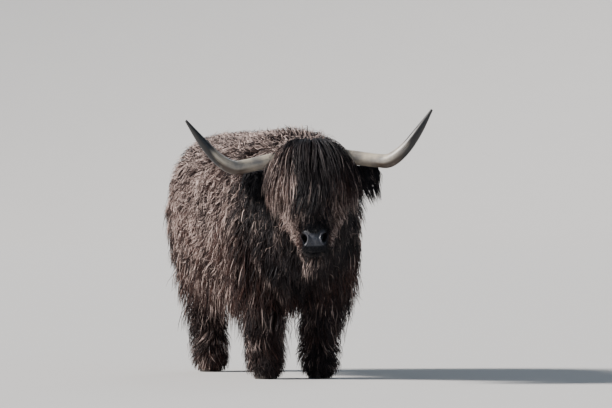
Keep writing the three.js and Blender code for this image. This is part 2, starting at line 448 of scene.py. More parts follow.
@dataclass(frozen=True)
class HairColours:
    """The colours that both the coat and the skin under it are marked with."""

    # near black, with a blue tint that is partly painted cool shade
    black: Colour = (0.0048, 0.0060, 0.0100)
    brown: Colour = (0.062, 0.041, 0.036)
    russet: Colour = (0.150, 0.062, 0.043)
    dusty: Colour = (0.84, 0.655, 0.595)
    # partly the pad's own dark slate, partly painted reflection: paler and bluer, as a wet pad under a cool
    # sky
    slate: Colour = (0.033, 0.037, 0.050)
    dust_warms: float = 0.85  # how far dust takes the hair from black to brown
    red_warms: float = 0.5  # how far redness does
    warmth_least: float = 0.3  # the share of that which the darkest locks take
    warmth_range: float = 0.85  # how much more of it the brownest take

    def base(self, recipe: Recipe, dust: Value, red: Value, chance: Value) -> Socket:
        """Mixes the coat's own colour, before the sun bleaches its tips.

        Args:
            recipe: the material being mixed.
            dust: how bleached the place is.
            red: how red it is.
            chance: a number of the lock's own.

        Returns:
            The colour.
        """
        warm = recipe.mix(red, self.brown, self.russet)
        shade = recipe.maths("ADD", recipe.times(dust, self.dust_warms), recipe.times(red, self.red_warms))
        shade = recipe.times(shade, recipe.scaled(chance, self.warmth_range, self.warmth_least))
        return recipe.mix(shade, self.black, warm)


@dataclass(frozen=True)
class CoatFinish(HairColours):
    """The hair: black and russet-brown, with sun-bleached tips and fine strands along each lock, and painted
    shade at each lock's root and in the gaps between strands.
    """

    roughness: float = 0.52
    specular: float = 0.2
    root: float = 0.4  # how far along a lock the painted shade at its root reaches
    strand: Colour = (14.0, 0.8, 1.0)  # strands across a lock, and waves along one
    dust_bleaches: float = 0.62
    bleached: Span = (0.93, 1.15)  # what a lock's chance and dust add up to as it turns pale
    pale_along: Span = (0.05, 0.75)  # where along itself a bleached lock turns pale
    gaps: Span = (0.62, 0.35)
    gap_shade: float = 0.42  # how dark the painted shade in the gaps between strands is

    def build(self, name: str) -> Material:
        """Builds the material, which reads the locks' own shades.

        Args:
            name: the material's name.

        Returns:
            The material.
        """
        recipe = Recipe(name, Roughness=self.roughness, Specular_IOR_Level=self.specular)
        chance, along, dust, red = recipe.attribute("tuft")
        flow = recipe.stretched(recipe.node("UVMap", uv_map="Strand").outputs[0], self.strand)
        strands = recipe.noise(flow, 1.0, 2.0)
        base = self.base(recipe, dust, red, chance)
        # painted shade: each lock darkens to black towards its root
        base = recipe.mix(recipe.step(along, self.root, 0.0), base, self.black)
        bleached = recipe.sum_step(chance, recipe.scaled(dust, self.dust_bleaches), *self.bleached)
        colour = recipe.mix(recipe.times(recipe.step(along, *self.pale_along), bleached), base, self.dusty)
        # painted shade in the gaps between strands
        colour = recipe.mix(recipe.step(strands, *self.gaps), colour, recipe.darker(colour, self.gap_shade))
        return recipe.dress(Base_Color=colour, Normal=recipe.bump(strands, 0.0012))


@dataclass(frozen=True)
class SkinFinish(HairColours):
    """The skin: marked as the coat over it but darkened there as painted shade, with a slate nose pad, lips
    and lids, and painted shade in its nostrils, mouth and the pad's creases.
    """

    coat_gap_shade: float = 0.75  # painted shade: how much blacker the skin is than the hair over it, so the gaps between locks look shaded
    hair_rough: float = 0.85
    wet: Span = (0.24, 0.46)  # how rough the bare skin is, where it is wet and where it is dry
    # partly the pad's own mottle, partly painted reflection: paler and bluer, as a wet pad under a cool sky
    mottled: Colour = (0.058, 0.058, 0.068)
    # painted shade in the creases between the nose pad's pebbles
    crease: Colour = (0.010, 0.009, 0.011)
    # painted shade inside the nostrils and the mouth's slit
    inside: Colour = (0.006, 0.005, 0.006)

    def build(self, name: str) -> Material:
        """Builds the material, which reads the skin's own markings.

        Args:
            name: the material's name.

        Returns:
            The material.
        """
        recipe = Recipe(name, Specular_IOR_Level=0.38)
        dust, red, bare, hollow_shade = recipe.attribute("marks")
        place = recipe.place()
        fuzz = recipe.noise(recipe.stretched(place, (1.0, 1.0, 0.25)), 420.0, 2.0)
        # painted shade: the skin under the coat is darkened towards black
        haired = recipe.mix(self.coat_gap_shade, self.base(recipe, dust, red, fuzz), self.black)
        pebbles = recipe.cells(place, 330.0)
        mottle = recipe.noise(place, 60.0, 4.0)
        leather = recipe.mix(recipe.step(mottle, 0.35, 0.75), self.slate, self.mottled)
        # painted shade in the creases between pebbles
        leather = recipe.mix(recipe.step(pebbles, 0.45, 0.9), leather, self.crease)
        # painted shade inside the nostrils and the mouth's slit
        leather = recipe.mix(hollow_shade, leather, self.inside)
        wet = recipe.between(recipe.step(mottle, 0.3, 0.7), *self.wet)
        rough = recipe.mix(bare, (self.hair_rough,) * 3, wet)
        raised = recipe.mix(bare, fuzz, recipe.maths("SUBTRACT", 1.0, pebbles))
        normal = recipe.bump(raised, 0.0011)
        return recipe.dress(Base_Color=recipe.mix(bare, haired, leather), Roughness=rough, Normal=normal)


@dataclass(frozen=True)
class HornFinish:
    """Polished horn: ivory, browner and rougher at its root, black towards its tip; its root's darkening and
    the dark mottling underneath are partly painted shade, and the black's earlier start underneath is painted
    shade.
    """

    ivory: Colour = (0.44, 0.385, 0.300)
    grey: Colour = (0.155, 0.148, 0.140)
    stain: Colour = (0.105, 0.070, 0.042)
    # dark mottling on the underside: partly the horn's own mottle, partly painted shade
    mottle_and_shade: Colour = (0.045, 0.028, 0.018)
    tip: Colour = (0.006, 0.0055, 0.006)
    stained: float = 0.55  # how strong the streaks' stain is
    root: Span = (0.42, 0.05)  # these spans are shares of the horn's length, from its root
    root_grey_and_shade: float = 0.75  # how much of the root's ivory the grey and the stain cover, partly as painted shade near the head
    mottle_and_shade_from: Span = (0.28, 0.50)
    tip_from: Span = (0.72, 0.80)
    raggedness: float = 0.32  # how far the black runs back along the grain
    shade_sooner_under: float = 0.14  # painted shade: how much nearer the root the black starts underneath

    def build(self, name: str) -> Material:
        """Builds the material, which reads how far along the horn a place is.

        Args:
            name: the material's name.

        Returns:
            The material.
        """
        recipe = Recipe(name, Coat_Weight=0.06, Coat_Roughness=0.35)
        along, around, under, _ = recipe.attribute("horn")
        streaks = recipe.noise(recipe.stretched(recipe.pair(around, along), (34.0, 5.0, 1.0)), 1.0, 4.0)
        cloud = recipe.noise(recipe.place(), 11.0, 4.0)
        body = recipe.mix(recipe.step(cloud, 0.35, 0.65), self.ivory, self.grey)
        body = recipe.mix(recipe.times(recipe.step(streaks, 0.45, 0.75), self.stained), body, self.stain)
        # partly painted shade: dark mottling where the horn faces down
        mottled = recipe.times(recipe.step(under, 0.08, 0.48), recipe.step(cloud, 0.30, 0.46))
        outer = recipe.times(mottled, recipe.step(along, *self.mottle_and_shade_from))
        body = recipe.mix(outer, body, self.mottle_and_shade)
        # partly the horn's own grey and stain, partly painted shade at the root
        root = recipe.times(recipe.step(along, *self.root), self.root_grey_and_shade)
        body = recipe.mix(root, body, recipe.mix(cloud, self.grey, self.stain))
        ragged = recipe.times(recipe.maths("SUBTRACT", streaks, 0.5), self.raggedness)
        edge = recipe.maths("ADD", along, ragged)
        edge = recipe.maths("ADD", edge, recipe.times(under, self.shade_sooner_under))
        body = recipe.mix(recipe.step(edge, *self.tip_from), body, self.tip)
        rough = recipe.between(recipe.step(along, 0.45, 0.1), 0.44, 0.58)
        return recipe.dress(Base_Color=body, Roughness=rough, Normal=recipe.bump(streaks, 0.0006))


@dataclass(frozen=True)
class EyeFinish:
    """A cow's dark wet eye: a brown iris round a wide black pupil."""

    pupil: Colour = (0.003, 0.003, 0.005)
    iris: Colour = (0.045, 0.020, 0.009)
    rim: Colour = (0.010, 0.006, 0.005)
    white: Colour = (0.30, 0.24, 0.20)

    def build(self, name: str) -> Material:
        """Builds the material, which reads how far out from the pupil a place is.

        Args:
            name: the material's name.

        Returns:
            The material.
        """
        recipe = Recipe(name, Roughness=0.12, Coat_Weight=1.0, Coat_Roughness=0.03, Specular_IOR_Level=0.6)
        pupil, out, around, _ = recipe.attribute("eye")
        rays = recipe.noise(recipe.stretched(recipe.pair(around, out), (60.0, 2.0, 1.0)), 1.0, 3.0)
        iris = recipe.mix(rays, self.iris, recipe.darker(self.iris, 0.4))
        iris = recipe.mix(recipe.step(pupil, 1.15, 0.85), iris, self.pupil)
        iris = recipe.mix(recipe.step(out, 0.62, 0.72), iris, self.rim)
        return recipe.dress(Base_Color=recipe.mix(recipe.step(out, 0.76, 0.84), iris, self.white))


@dataclass(frozen=True)
class HoofFinish:
    """Dark hoof horn, ringed as it grew and scuffed paler in patches."""

    dark: Colour = (0.022, 0.018, 0.016)
    scuffed: Colour = (0.115, 0.095, 0.078)

    def build(self, name: str) -> Material:
        """Builds the material.

        Args:
            name: the material's name.

        Returns:
            The material.
        """
        recipe = Recipe(name)
        place = recipe.place()
        rings = recipe.noise(recipe.stretched(place, (4.0, 4.0, 190.0)), 1.0, 3.0)
        grime = recipe.noise(place, 45.0, 4.0)
        colour = recipe.mix(recipe.times(recipe.step(rings, 0.45, 0.75), 0.6), self.dark, self.scuffed)
        colour = recipe.mix(recipe.times(recipe.step(grime, 0.5, 0.8), 0.5), colour, self.scuffed)
        rough = recipe.between(grime, 0.4, 0.75)
        return recipe.dress(Base_Color=colour, Roughness=rough, Normal=recipe.bump(rings, 0.0008))


@dataclass(frozen=True)
class FloorFinish:
    """A plain pale studio floor."""

    pale: Colour = (0.50, 0.495, 0.49)

    def build(self, name: str) -> Material:
        """Builds the material, with a faint unevenness.

        Args:
            name: the material's name.

        Returns:
            The material.
        """
        recipe = Recipe(name, Roughness=0.85, Specular_IOR_Level=0.2)
        cloud = recipe.noise(recipe.place(), 2.0, 3.0)
        return recipe.dress(Base_Color=recipe.mix(cloud, self.pale, tuple(0.97 * c for c in self.pale)))


# ---------------- lofts of flesh


class Part(Enum):
    """The parts of the body, so that the coat knows where it grows."""

    TRUNK = 0
    NECK = 1
    HEAD = 2
    EAR = 3
    FORELEG = 4
    HINDLEG = 5
    TAIL = 6
    UDDER = 7


@dataclass
class Clay:
    """Closed lofts and balls laid into one another, to be fused into a single skin."""

    bm: bmesh.types.BMesh = field(default_factory=bmesh.new)
    spots: list[Array] = field(default_factory=list)
    labels: list[tuple[Part, float]] = field(default_factory=list)

    def loft(
        self,
        part: Part,
        rings: Rows,
        place: Callable[[Iterable[float]], Vector],
        mirror: int = 1,
        facing: Iterable[float] = (0, 0, 1),
        around: int = 28,
        count: int = 30,
        square: float = 2.0,
        cup: float = 0.0,
    ) -> None:
        """Bridges a run of oval rings set along a smooth spine.

        Args:
            part: the part of the body it belongs to.
            rings: each section's middle, half width and reach up and down, in millimetres.
            place: turns the rings' own coordinates into the frame's.
            mirror: 1, or -1 to swap the rings' sides.
            facing: the frame direction that each ring's "up" leans towards.
            around: vertices in a ring.
            count: how many rings to bridge.
            square: 2 for an ellipse, more for a boxier section.
            cup: how far the section bows back, in millimetres, as an ear's does.
        """
        spine = np.array([place((mirror * x, y, z)) for x, y, z, *_ in rings])
        reach = np.array([ring[3:] for ring in rings]) * MM
        spine, reach = spline(spine, count), np.abs(spline(reach, count))
        tangents = unit(np.gradient(spine, axis=0))
        loops = []
        for k in range(count):
            tangent = Vector(tangents[k])
            up = Vector(facing) - tangent * tangent.dot(Vector(facing))
            up.normalize()
            side = up.cross(tangent)
            cap = k in (0, count - 1)
            made = bmesh.ops.create_circle(self.bm, cap_ends=cap, segments=around, radius=1.0)
            wide, high, low = reach[k]
            for vert in made["verts"]:
                x, z = (math.copysign(abs(c) ** (2 / square), c) for c in (vert.co.x, vert.co.y))
                bow = side * (cup * MM * (1 - z * z))
                vert.co = Vector(spine[k]) + side * (x * wide) + up * (z * (high if z > 0 else low)) + bow
                self.spots.append(np.array(vert.co))
                self.labels.append((part, k / (count - 1)))
            edges = {edge for vert in made["verts"] for edge in vert.link_edges}
            loops.append(list(edges))
        for one, other in zip(loops, loops[1:]):
            bmesh.ops.bridge_loops(self.bm, edges=one + other)

    def ball(self, part: Part, middle: Vector, radii: Iterable[float], turn: Matrix | None = None) -> None:
        """Lays an ellipsoid into the clay.

        Args:
            part: the part of the body it belongs to.
            middle: its middle, in the frame.
            radii: its three half sizes, in millimetres.
            turn: the axes that the radii are measured along, or None for the frame's own.
        """
        axes = (turn or Matrix.Identity(3)).to_4x4()
        shape = Matrix.Translation(middle) @ axes @ Matrix.Diagonal((*(r * MM for r in radii), 1.0))
        made = bmesh.ops.create_icosphere(self.bm, subdivisions=3, radius=1.0, matrix=shape)
        for vert in made["verts"]:
            self.spots.append(np.array(vert.co))
            self.labels.append((part, 0.5))


# ---------------- nose, mouth and eyelids


@dataclass(frozen=True)
class Muzzle:
    """The bare end of the nose, its nostrils, and the mouth under it, in the head's millimetres."""

    slant: float = math.radians(30)  # how far the pad leans from straight across the end of the nose
    top: float = 340.0  # where the bare pad starts beside the nostrils, measured down the pad
    notch: float = 16.0  # how much lower it starts between them
    bottom: float = 423.0
    pad_half: float = 63.0  # its half width level with the nostrils
    pad_narrows: float = 26.0  # how much of that it loses farther up and down
    nostril: tuple[float, float] = (48.0, 379.0)  # out from the middle, and down the pad
    wide: float = 14.0
    tall: float = 29.0
    lean: float = math.radians(24)  # the nostrils' tops lean outwards
    tail: float = 0.012  # how far their tops and bottoms curl outwards
    depth: float = 34.0
    rim: float = 7.0
    mouth: tuple[float, float] = (494.0, -10.0)  # the slit's front, along the face and out of it
    mouth_slope: float = 0.28
    mouth_corner: float = 392.0
    mouth_deep: float = 11.0
    lips_full: float = 2.5  # how far the lips swell along the mouth
    overbite: float = 8.0  # how far the lower lip stands behind the upper
    cleft: float = 2.2  # how deep the pad is parted under the nostrils
    sunk: float = 2.0  # how far the pad's top is pressed in between them
    underside: float = -130.0  # nothing of the muzzle is lower than this, out of the face

    def pad(self, head: Array) -> tuple[Array, Array]:
        """Measures how far places are down the nose pad, and out in front of it."""
        c, s = math.cos(self.slant), math.sin(self.slant)
        return c * head[:, 1] - s * head[:, 2], s * head[:, 1] + c * head[:, 2]

    def from_nostril(self, head: Array) -> Array:
        """Measures how far places are from a nostril: 0 in its middle, 1 at its rim.

        Args:
            head: places in the head's coordinates.

        Returns:
            One distance for each.
        """
        down, front = self.pad(head)
        x, y = np.abs(head[:, 0]) - self.nostril[0], down - self.nostril[1]
        tall = x * math.sin(self.lean) - y * math.cos(self.lean)
        wide = x * math.cos(self.lean) + y * math.sin(self.lean)
        wide = wide - self.tail * tall**2 + 2
        slim = self.wide * (1 - 0.45 * smooth(0, self.tall, tall))
        behind = 3 * smooth(222, 195, front)
        return np.hypot(wide / slim, tall / self.tall) + behind

    def from_slit(self, head: Array) -> Array:
        """Measures how far places are above the plane of the mouth, in millimetres."""
        return head[:, 2] - self.mouth[1] + self.mouth_slope * (self.mouth[0] - head[:, 1])

    def bare(self, head: Array) -> Array:
        """Grades how bare and leathery the skin is: 1 on the nose pad, 0 where hair grows.

        Args:
            head: places in the head's coordinates.

        Returns:
            One grade for each.
        """
        down, front = self.pad(head)
        near = np.abs(down - self.nostril[1]) / 46
        half = self.pad_half - self.pad_narrows * np.clip(near, 0, 1) ** 2
        top = self.top + self.notch * smooth(34, 10, np.abs(head[:, 0]))
        middle = smooth(top, top + 8, down) * smooth(self.bottom, self.bottom - 8, down)
        lips = smooth(11, 5, np.abs(self.from_slit(head))) * smooth(466, 480, head[:, 1])
        patch = middle * smooth(half + 4, half - 6, np.abs(head[:, 0])) * smooth(196, 206, front)
        medial = smooth(self.nostril[0] + 8, self.nostril[0] - 4, np.abs(head[:, 0]))
        around = smooth(1.02 + 0.22 * medial, 0.95 + 0.16 * medial, self.from_nostril(head))
        return np.maximum(np.maximum(patch * np.maximum(medial, around), lips), around)

    def shape(self, head: Array, normals: Array) -> Array:
        """Presses the nostrils, lips and pad into the end of the nose.

        Args:
            head: the skin's points in the head's coordinates.
            normals: the skin's normals in the same axes.

        Returns:
            The moved points.
        """
        side = np.sign(head[:, 0])
        down, front = self.pad(head)
        c, s = math.cos(self.slant), math.sin(self.slant)
        inward = np.stack([-0.30 * side, np.full(len(head), -s), np.full(len(head), -c)], axis=1)
        hole = self.from_nostril(head)
        moved = head + inward * (self.depth * smooth(1.0, 0.42, hole))[:, None]
        medial = smooth(self.nostril[0] + 10, self.nostril[0] - 6, np.abs(head[:, 0]))
        wing = self.rim * (0.4 + 0.6 * medial) * np.exp(-(((hole - 1.26) / 0.24) ** 2))
        moved = moved + normals * wing[:, None]
        slit = self.from_slit(head)
        reach = smooth(self.mouth_corner, self.mouth_corner + 26, head[:, 1])
        groove = self.mouth_deep * np.exp(-((slit / 5.0) ** 2))
        lips = self.lips_full * np.exp(-(((np.abs(slit) - 13) / 6) ** 2))
        moved = moved + normals * ((lips - groove) * reach)[:, None]
        moved[:, 1] -= self.overbite * smooth(2, -12, slit) * smooth(440, 485, head[:, 1])
        on_pad = smooth(self.top, self.top + 10, down) * smooth(205, 215, front)
        cleft = self.cleft * np.exp(-((head[:, 0] / 3.2) ** 2)) * smooth(self.nostril[1], self.bottom, down)
        sunk = self.sunk * np.exp(-((head[:, 0] / 17) ** 2)) * np.exp(-(((down - self.top - 8) / 9) ** 2))
        return moved - normals * (on_pad * (cleft + sunk))[:, None]


@dataclass(frozen=True)
class Lids:
    """The almond openings that the eyes look out of, and the lids round them, in millimetres."""

    half_long: float = 18.0
    half_high: float = 10.5
    lid: float = 2.6  # how thick the lids are over the eyeball
    behind: float = 12.0  # how far from the eye's middle the skin is tucked in under the lids
    look_out: float = 0.45  # how far the eyes are turned from the sides to the front
    slant: float = math.radians(14)
    far: float = 9.0  # what the inner side of an eye counts as, from its opening's middle
    reach: float = 46.0  # skin farther than this from the eye's middle stays as it is
    edge: float = 1.32  # where the lids' edges swell, the opening's own edge being 1
    edge_high: float = 1.8
    crease: float = 1.75  # where the lids crease
    crease_deep: float = 1.6

    def axes(self, side: Side) -> Array:
        """Finds an eye's look direction and its lids' long and high directions, in the head's axes.

        Args:
            side: which eye.

        Returns:
            The three directions, a row for each.
        """
        look = unit(np.array([[side.value, 0.0, self.look_out]]))[0]
        long = np.array((0.0, math.cos(self.slant), math.sin(self.slant)))
        long = unit((long - look * long.dot(look))[None])[0]
        return np.stack([look, long, np.cross(look, long)])

    def middle(self, side: Side) -> Array:
        """Finds an eye's middle in the head's coordinates."""
        return HEAD.local(np.array([middle_of(f"eye_{side.word}")]))[0]

    def opening(self, head: Array, side: Side) -> Array:
        """Measures places against an eye's opening.

        Args:
            head: places in the head's coordinates.
            side: which eye.

        Returns:
            How far each is from the opening's middle, 1 being its edge.
        """
        local = (head - self.middle(side)) @ self.axes(side).T
        taper = self.half_high * (1 - 0.45 * np.clip(local[:, 1] / self.half_long, -1, 1) ** 2)
        away = np.hypot(local[:, 1] / self.half_long, local[:, 2] / taper)
        return np.where(local[:, 0] > 0, away, self.far)

    def shape(self, head: Array, eyeball: float) -> Array:
        """Opens the lids over both eyes and wraps them round the eyeballs.

        Args:
            head: the skin's points in the head's coordinates.
            eyeball: the eyeball's radius.

        Returns:
            The moved points.
        """
        moved = head.copy()
        for side in Side:
            middle = self.middle(side)
            away = self.opening(moved, side)
            spoke = moved - middle
            reach = np.linalg.norm(spoke, axis=1)
            near = (reach < self.reach) & (away < self.far)
            fold = self.edge_high * np.exp(-(((away - self.edge) / 0.16) ** 2))
            fold = fold - self.crease_deep * np.exp(-(((away - self.crease) / 0.14) ** 2))
            out = np.maximum(reach, eyeball + self.lid) + fold
            share = smooth(0.93, 1.1, away)
            wanted = share * out + (1 - share) * self.behind
            wanted = np.where(near, wanted, reach)
            moved = middle + spoke * (wanted / np.maximum(reach, 1e-6))[:, None]
        return moved


MUZZLE = Muzzle()
LIDS = Lids()
EYEBALL_RADIUS = (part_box("eye_left")[1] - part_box("eye_left")[0]).z / 2 / MM


# ---------------- the skin


@dataclass
class Skin:
    """The whole bare animal as one closed skin, shaped as an adult cow under its coat."""

    voxel: float = 0.0105  # the grain at which the clay is fused
    barrel_rings: Rows = (
        # all rings: across, back and up, then half width, reach up and reach down
        (0, -262, 800, 70, 110, 120),
        (0, -215, 800, 140, 205, 215),
        (0, -120, 800, 196, 285, 300),
        (0, -10, 800, 228, 350, 325),
        (0, 100, 800, 246, 340, 322),
        (0, 260, 795, 276, 332, 315),
        (0, 450, 790, 304, 332, 310),
        (0, 700, 795, 314, 336, 300),
        (0, 900, 820, 306, 324, 275),
        (0, 1060, 855, 286, 284, 245),
        (0, 1165, 875, 225, 225, 215),
        (0, 1215, 885, 130, 140, 140),
        (0, 1232, 888, 50, 60, 60),
    )
    neck_rings: Rows = (
        (0, 60, 870, 120, 210, 260),
        (-5, -140, 870, 152, 235, 300),
        (-20, -300, 890, 128, 190, 240),
        (-35, -410, 920, 104, 150, 170),
        (-46, -490, 950, 84, 104, 110),
        (-52, -520, 965, 50, 60, 60),
    )
    dewlap_rings: Rows = (
        (-30, -400, 760, 14, 40, 20),
        (-16, -300, 690, 24, 60, 30),
        (-6, -220, 590, 34, 80, 34),
        (0, -120, 500, 40, 90, 36),
        (0, 0, 480, 30, 60, 24),
    )
    face_rings: Rows = (
        # the face's and the jaw's are across, along the face and out of it
        (0, -66, 0, 40, 18, 34),
        (0, -40, 0, 84, 36, 84),
        (0, 20, 0, 100, 42, 126),
        (0, 90, 0, 103, 42, 140),
        (0, 165, 0, 98, 40, 150),
        (0, 235, 0, 84, 38, 150),
        (0, 300, 0, 68, 36, 128),
        (0, 360, 0, 60, 35, 100),
        (0, 415, 0, 65, 36, 78),
        (0, 458, 0, 73, 38, 66),
        (0, 486, -20, 68, 34, 52),
        (0, 500, -38, 42, 22, 34),
    )
    jaw_rings: Rows = (
        (0, 110, -140, 50, 40, 46),
        (0, 190, -150, 66, 40, 46),
        (0, 270, -140, 58, 36, 40),
        (0, 350, -118, 45, 34, 32),
        (0, 420, -98, 42, 34, 26),
        (0, 470, -84, 46, 30, 22),
        (0, 496, -76, 33, 18, 14),
    )
    ear_rings: Rows = (
        # across, back and up from the poll
        (78, 38, -50, 22, 22, 26),
        (112, 35, -50, 19, 22, 28),
        (155, 32, -61, 12, 26, 36),
        (205, 22, -84, 11, 28, 40),
        (260, 12, -80, 10, 22, 32),
        (316, 3, -76, 8, 10, 14),
    )
    foreleg_rings: Rows = (
        (150, 10, 900, 60, 100, 100),
        (176, 0, 780, 92, 140, 130),
        (180, -10, 660, 88, 120, 118),
        (170, -12, 560, 72, 92, 92),
        (151, -14, 450, 55, 66, 66),
        (141, -16, 375, 46, 50, 50),
        (138, -20, 328, 47, 52, 46),
        (135, -14, 280, 37, 40, 40),
        (132, -10, 215, 31, 36, 38),
        (131, -10, 150, 34, 38, 42),
        (131, -12, 115, 43, 42, 52),
        (131, -20, 84, 40, 44, 44),
        (131, -24, 60, 46, 54, 48),
        (131, -22, 42, 42, 50, 42),
    )
    hindleg_rings: Rows = (
        (140, 985, 960, 80, 120, 120),
        (178, 985, 850, 118, 190, 165),
        (190, 985, 730, 120, 195, 150),
        (186, 978, 620, 96, 150, 130),
        (170, 1012, 530, 66, 98, 92),
        (155, 1062, 450, 48, 62, 72),
        (148, 1085, 405, 42, 52, 68),
        (144, 1082, 350, 37, 44, 50),
        (141, 1062, 270, 32, 36, 42),
        (138, 1046, 170, 34, 38, 44),
        (138, 1038, 120, 43, 44, 52),
        (138, 1026, 84, 41, 44, 44),
        (138, 1020, 60, 47, 54, 48),
        (138, 1022, 42, 43, 50, 42),
    )
    dock_rings: Rows = (
        (0, 1120, 1085, 40, 34, 34),
        (0, 1210, 1084, 34, 30, 30),
        (0, 1288, 1015, 25, 24, 24),
        (0, 1312, 900, 20, 19, 19),
        (0, 1316, 760, 17, 16, 16),
        (0, 1314, 640, 15, 14, 14),
        (0, 1310, 540, 12, 12, 12),
    )
    trunk_balls: Rows = (
        # middles and half sizes of the shoulders, the hip bones and the pin bones
        (165, 10, 850, 88, 120, 210),
        (205, 880, 1022, 66, 110, 62),
        (98, 1168, 985, 54, 56, 70),
    )
    head_balls: Rows = (
        # the orbits, cheeks, nostrils' wings and upper lips
        (80, 166, -2, 33, 40, 32),
        (66, 225, -95, 28, 78, 66),
        (49, 450, 10, 26, 30, 26),
        (36, 440, -52, 26, 40, 22),
    )
    clay: Clay = field(default_factory=Clay)

    def trunk(self) -> None:
        """Lays in the barrel, withers, shoulders, hips and pin bones."""
        self.clay.loft(Part.TRUNK, self.barrel_rings, STANCE.place, around=40, count=44, square=2.2)
        for side in Side:
            for x, y, z, *radii in self.trunk_balls:
                self.clay.ball(Part.TRUNK, STANCE.place((side.value * x, y, z)), radii)

    def neck(self) -> None:
        """Lays in the neck, from between the shoulders to the back of the skull."""
        self.clay.loft(Part.NECK, self.neck_rings, STANCE.place, count=24)
        self.clay.loft(Part.NECK, self.dewlap_rings, STANCE.place, count=18, around=16)

    def skull(self) -> None:
        """Lays in the head: skull, jaw, orbits, cheeks, nostril wings, lips and chin."""
        out = HEAD.axes.col[2]
        self.clay.loft(Part.HEAD, self.face_rings, HEAD.place, 1, out, around=36, count=44, square=2.15)
        self.clay.loft(Part.HEAD, self.jaw_rings, HEAD.place, 1, out, around=24, count=26)
        for side in Side:
            for x, y, z, *radii in self.head_balls:
                self.clay.ball(Part.HEAD, HEAD.place((side.value * x, y, z)), radii, HEAD.axes)
        self.clay.ball(Part.HEAD, HEAD.place((0, -36, 4)), (78, 34, 40), HEAD.axes)
        self.clay.ball(Part.HEAD, HEAD.place((0, 466, -58)), (42, 30, 30), HEAD.axes)

    def limbs(self, side: Side) -> None:
        """Lays in one side's ear, cupped towards the front, its foreleg and its hind leg.

        Args:
            side: which side.
        """
        s = side.value
        ear = {"around": 32, "count": 24, "square": 2.8, "cup": s * -12}
        self.clay.loft(Part.EAR, self.ear_rings, HEAD.level, s, **ear)
        self.clay.loft(Part.FORELEG, self.foreleg_rings, STANCE.place, s, (0, -1, 0), 24, 48)
        self.clay.loft(Part.HINDLEG, self.hindleg_rings, STANCE.place, s, (0, -1, 0), 24, 52)

    def tail(self) -> None:
        """Lays in the tail's dock, which the switch grows from."""
        self.clay.loft(Part.TAIL, self.dock_rings, STANCE.place, facing=(0, 1, 0.6), count=40, around=16)

    def udder(self) -> None:
        """Lays in a small udder with four teats."""
        self.clay.ball(Part.UDDER, STANCE.place((0, 860, 478)), (98, 120, 92))
        for side in Side:
            for shift in (-42, 40):
                teat = STANCE.place((side.value * 44, 855 + shift, 385))
                self.clay.ball(Part.UDDER, teat, (15, 15, 34))

    def fuse(self) -> Mesh:
        """Fuses the clay into one closed skin and evens it out.

        Returns:
            The skin, before the face is carved.
        """
        return applied(
            mesh_of(self.clay.bm, "clay"),
            ("REMESH", {"mode": "VOXEL", "voxel_size": self.voxel}),
            ("SMOOTH", {"factor": 0.5, "iterations": 10}),
        )

    def refine(self, bm: bmesh.types.BMesh, chosen: Callable[[Array], Array]) -> None:
        """Halves the grain of the skin wherever the head needs finer shapes.

        Args:
            bm: the skin.
            chosen: says which places need it, in the head's coordinates.
        """
        bm.verts.ensure_lookup_table()
        inside = chosen(HEAD.local(np.array([vert.co for vert in bm.verts])))
        edges = [edge for edge in bm.edges if all(inside[vert.index] for vert in edge.verts)]
        bmesh.ops.subdivide_edges(bm, edges=edges, cuts=1, use_grid_fill=True)
        bm.verts.index_update()
        inside = chosen(HEAD.local(np.array([vert.co for vert in bm.verts])))
        verts = [vert for vert, is_in in zip(bm.verts, inside) if is_in]
        for _ in range(3):
            bmesh.ops.smooth_vert(
                bm, verts=verts, factor=0.5, use_axis_x=True, use_axis_y=True, use_axis_z=True
            )

    def carve(self, mesh: Mesh) -> Mesh:
        """Refines the face, then shapes its nostrils, mouth and eyelids.

        Args:
            mesh: the fused skin.

        Returns:
            The carved skin.
        """
        eyes = [LIDS.middle(side) for side in Side]

        def detailed(head: Array, muzzle: float, eye: float) -> Array:
            """Says which places are on the muzzle or near an eye."""
            from_eye = np.min([np.linalg.norm(head - middle, axis=1) for middle in eyes], axis=0)
            return (head[:, 1] > muzzle) & (head[:, 2] > MUZZLE.underside) | (from_eye < eye)

        bm = bmesh.new()
        bm.from_mesh(mesh)
        self.refine(bm, lambda head: detailed(head, 350, 62))
        self.refine(bm, lambda head: detailed(head, 376, 46))
        self.refine(bm, lambda head: (MUZZLE.from_nostril(head) < 1.6) | detailed(head, 900, 32))
        bmesh.ops.triangulate(bm, faces=[face for face in bm.faces if len(face.verts) > 4])
        bm.to_mesh(mesh)
        bm.free()
        head = HEAD.local(points_of(mesh))
        fine = np.flatnonzero(detailed(head, 350, 70))
        normals = normals_of(mesh)[fine] @ np.array(HEAD.axes)
        shaped = LIDS.shape(MUZZLE.shape(head[fine], normals), EYEBALL_RADIUS)
        head[fine] = shaped
        points = np.array(HEAD.poll) + head @ np.array(HEAD.axes).T * MM
        move_to(mesh, points)
        return applied(mesh, ("SMOOTH", {"factor": 0.35, "iterations": 1}))

    def build(self) -> Mesh:
        """Builds the whole skin.

        Returns:
            The finished mesh, in the frame's own place.
        """
        self.trunk()
        self.neck()
        self.skull()
        for side in Side:
            self.limbs(side)
        self.tail()
        self.udder()
        return self.carve(self.fuse())


LEGS = ("foreleg", "hindleg")
FLESH = [
    "trunk", "neck", "head", "muzzle", "jaw", "udder", "tail", "tail_switch",
    *(f"ear_{s.word}" for s in Side),
    *(f"{length}_{leg}_{s.word}" for s in Side for leg in LEGS for length in ("upper", "lower")),
]


# ---------------- horns, eyes and hooves


def colour_points(mesh: Mesh, name: str, *columns: Array | float) -> None:
    """Gives each of a mesh's points up to four numbers of its own.

    Args:
        mesh: the mesh.
        name: what the finish reads them by.
        columns: one number or one array for each.
    """
    values = np.zeros((len(mesh.vertices), 4), dtype=np.float32)
    for index, column in enumerate(columns):
        values[:, index] = column
    layer = mesh.attributes.new(name, "FLOAT_COLOR", "POINT")
    layer.data.foreach_set("color", values.ravel())


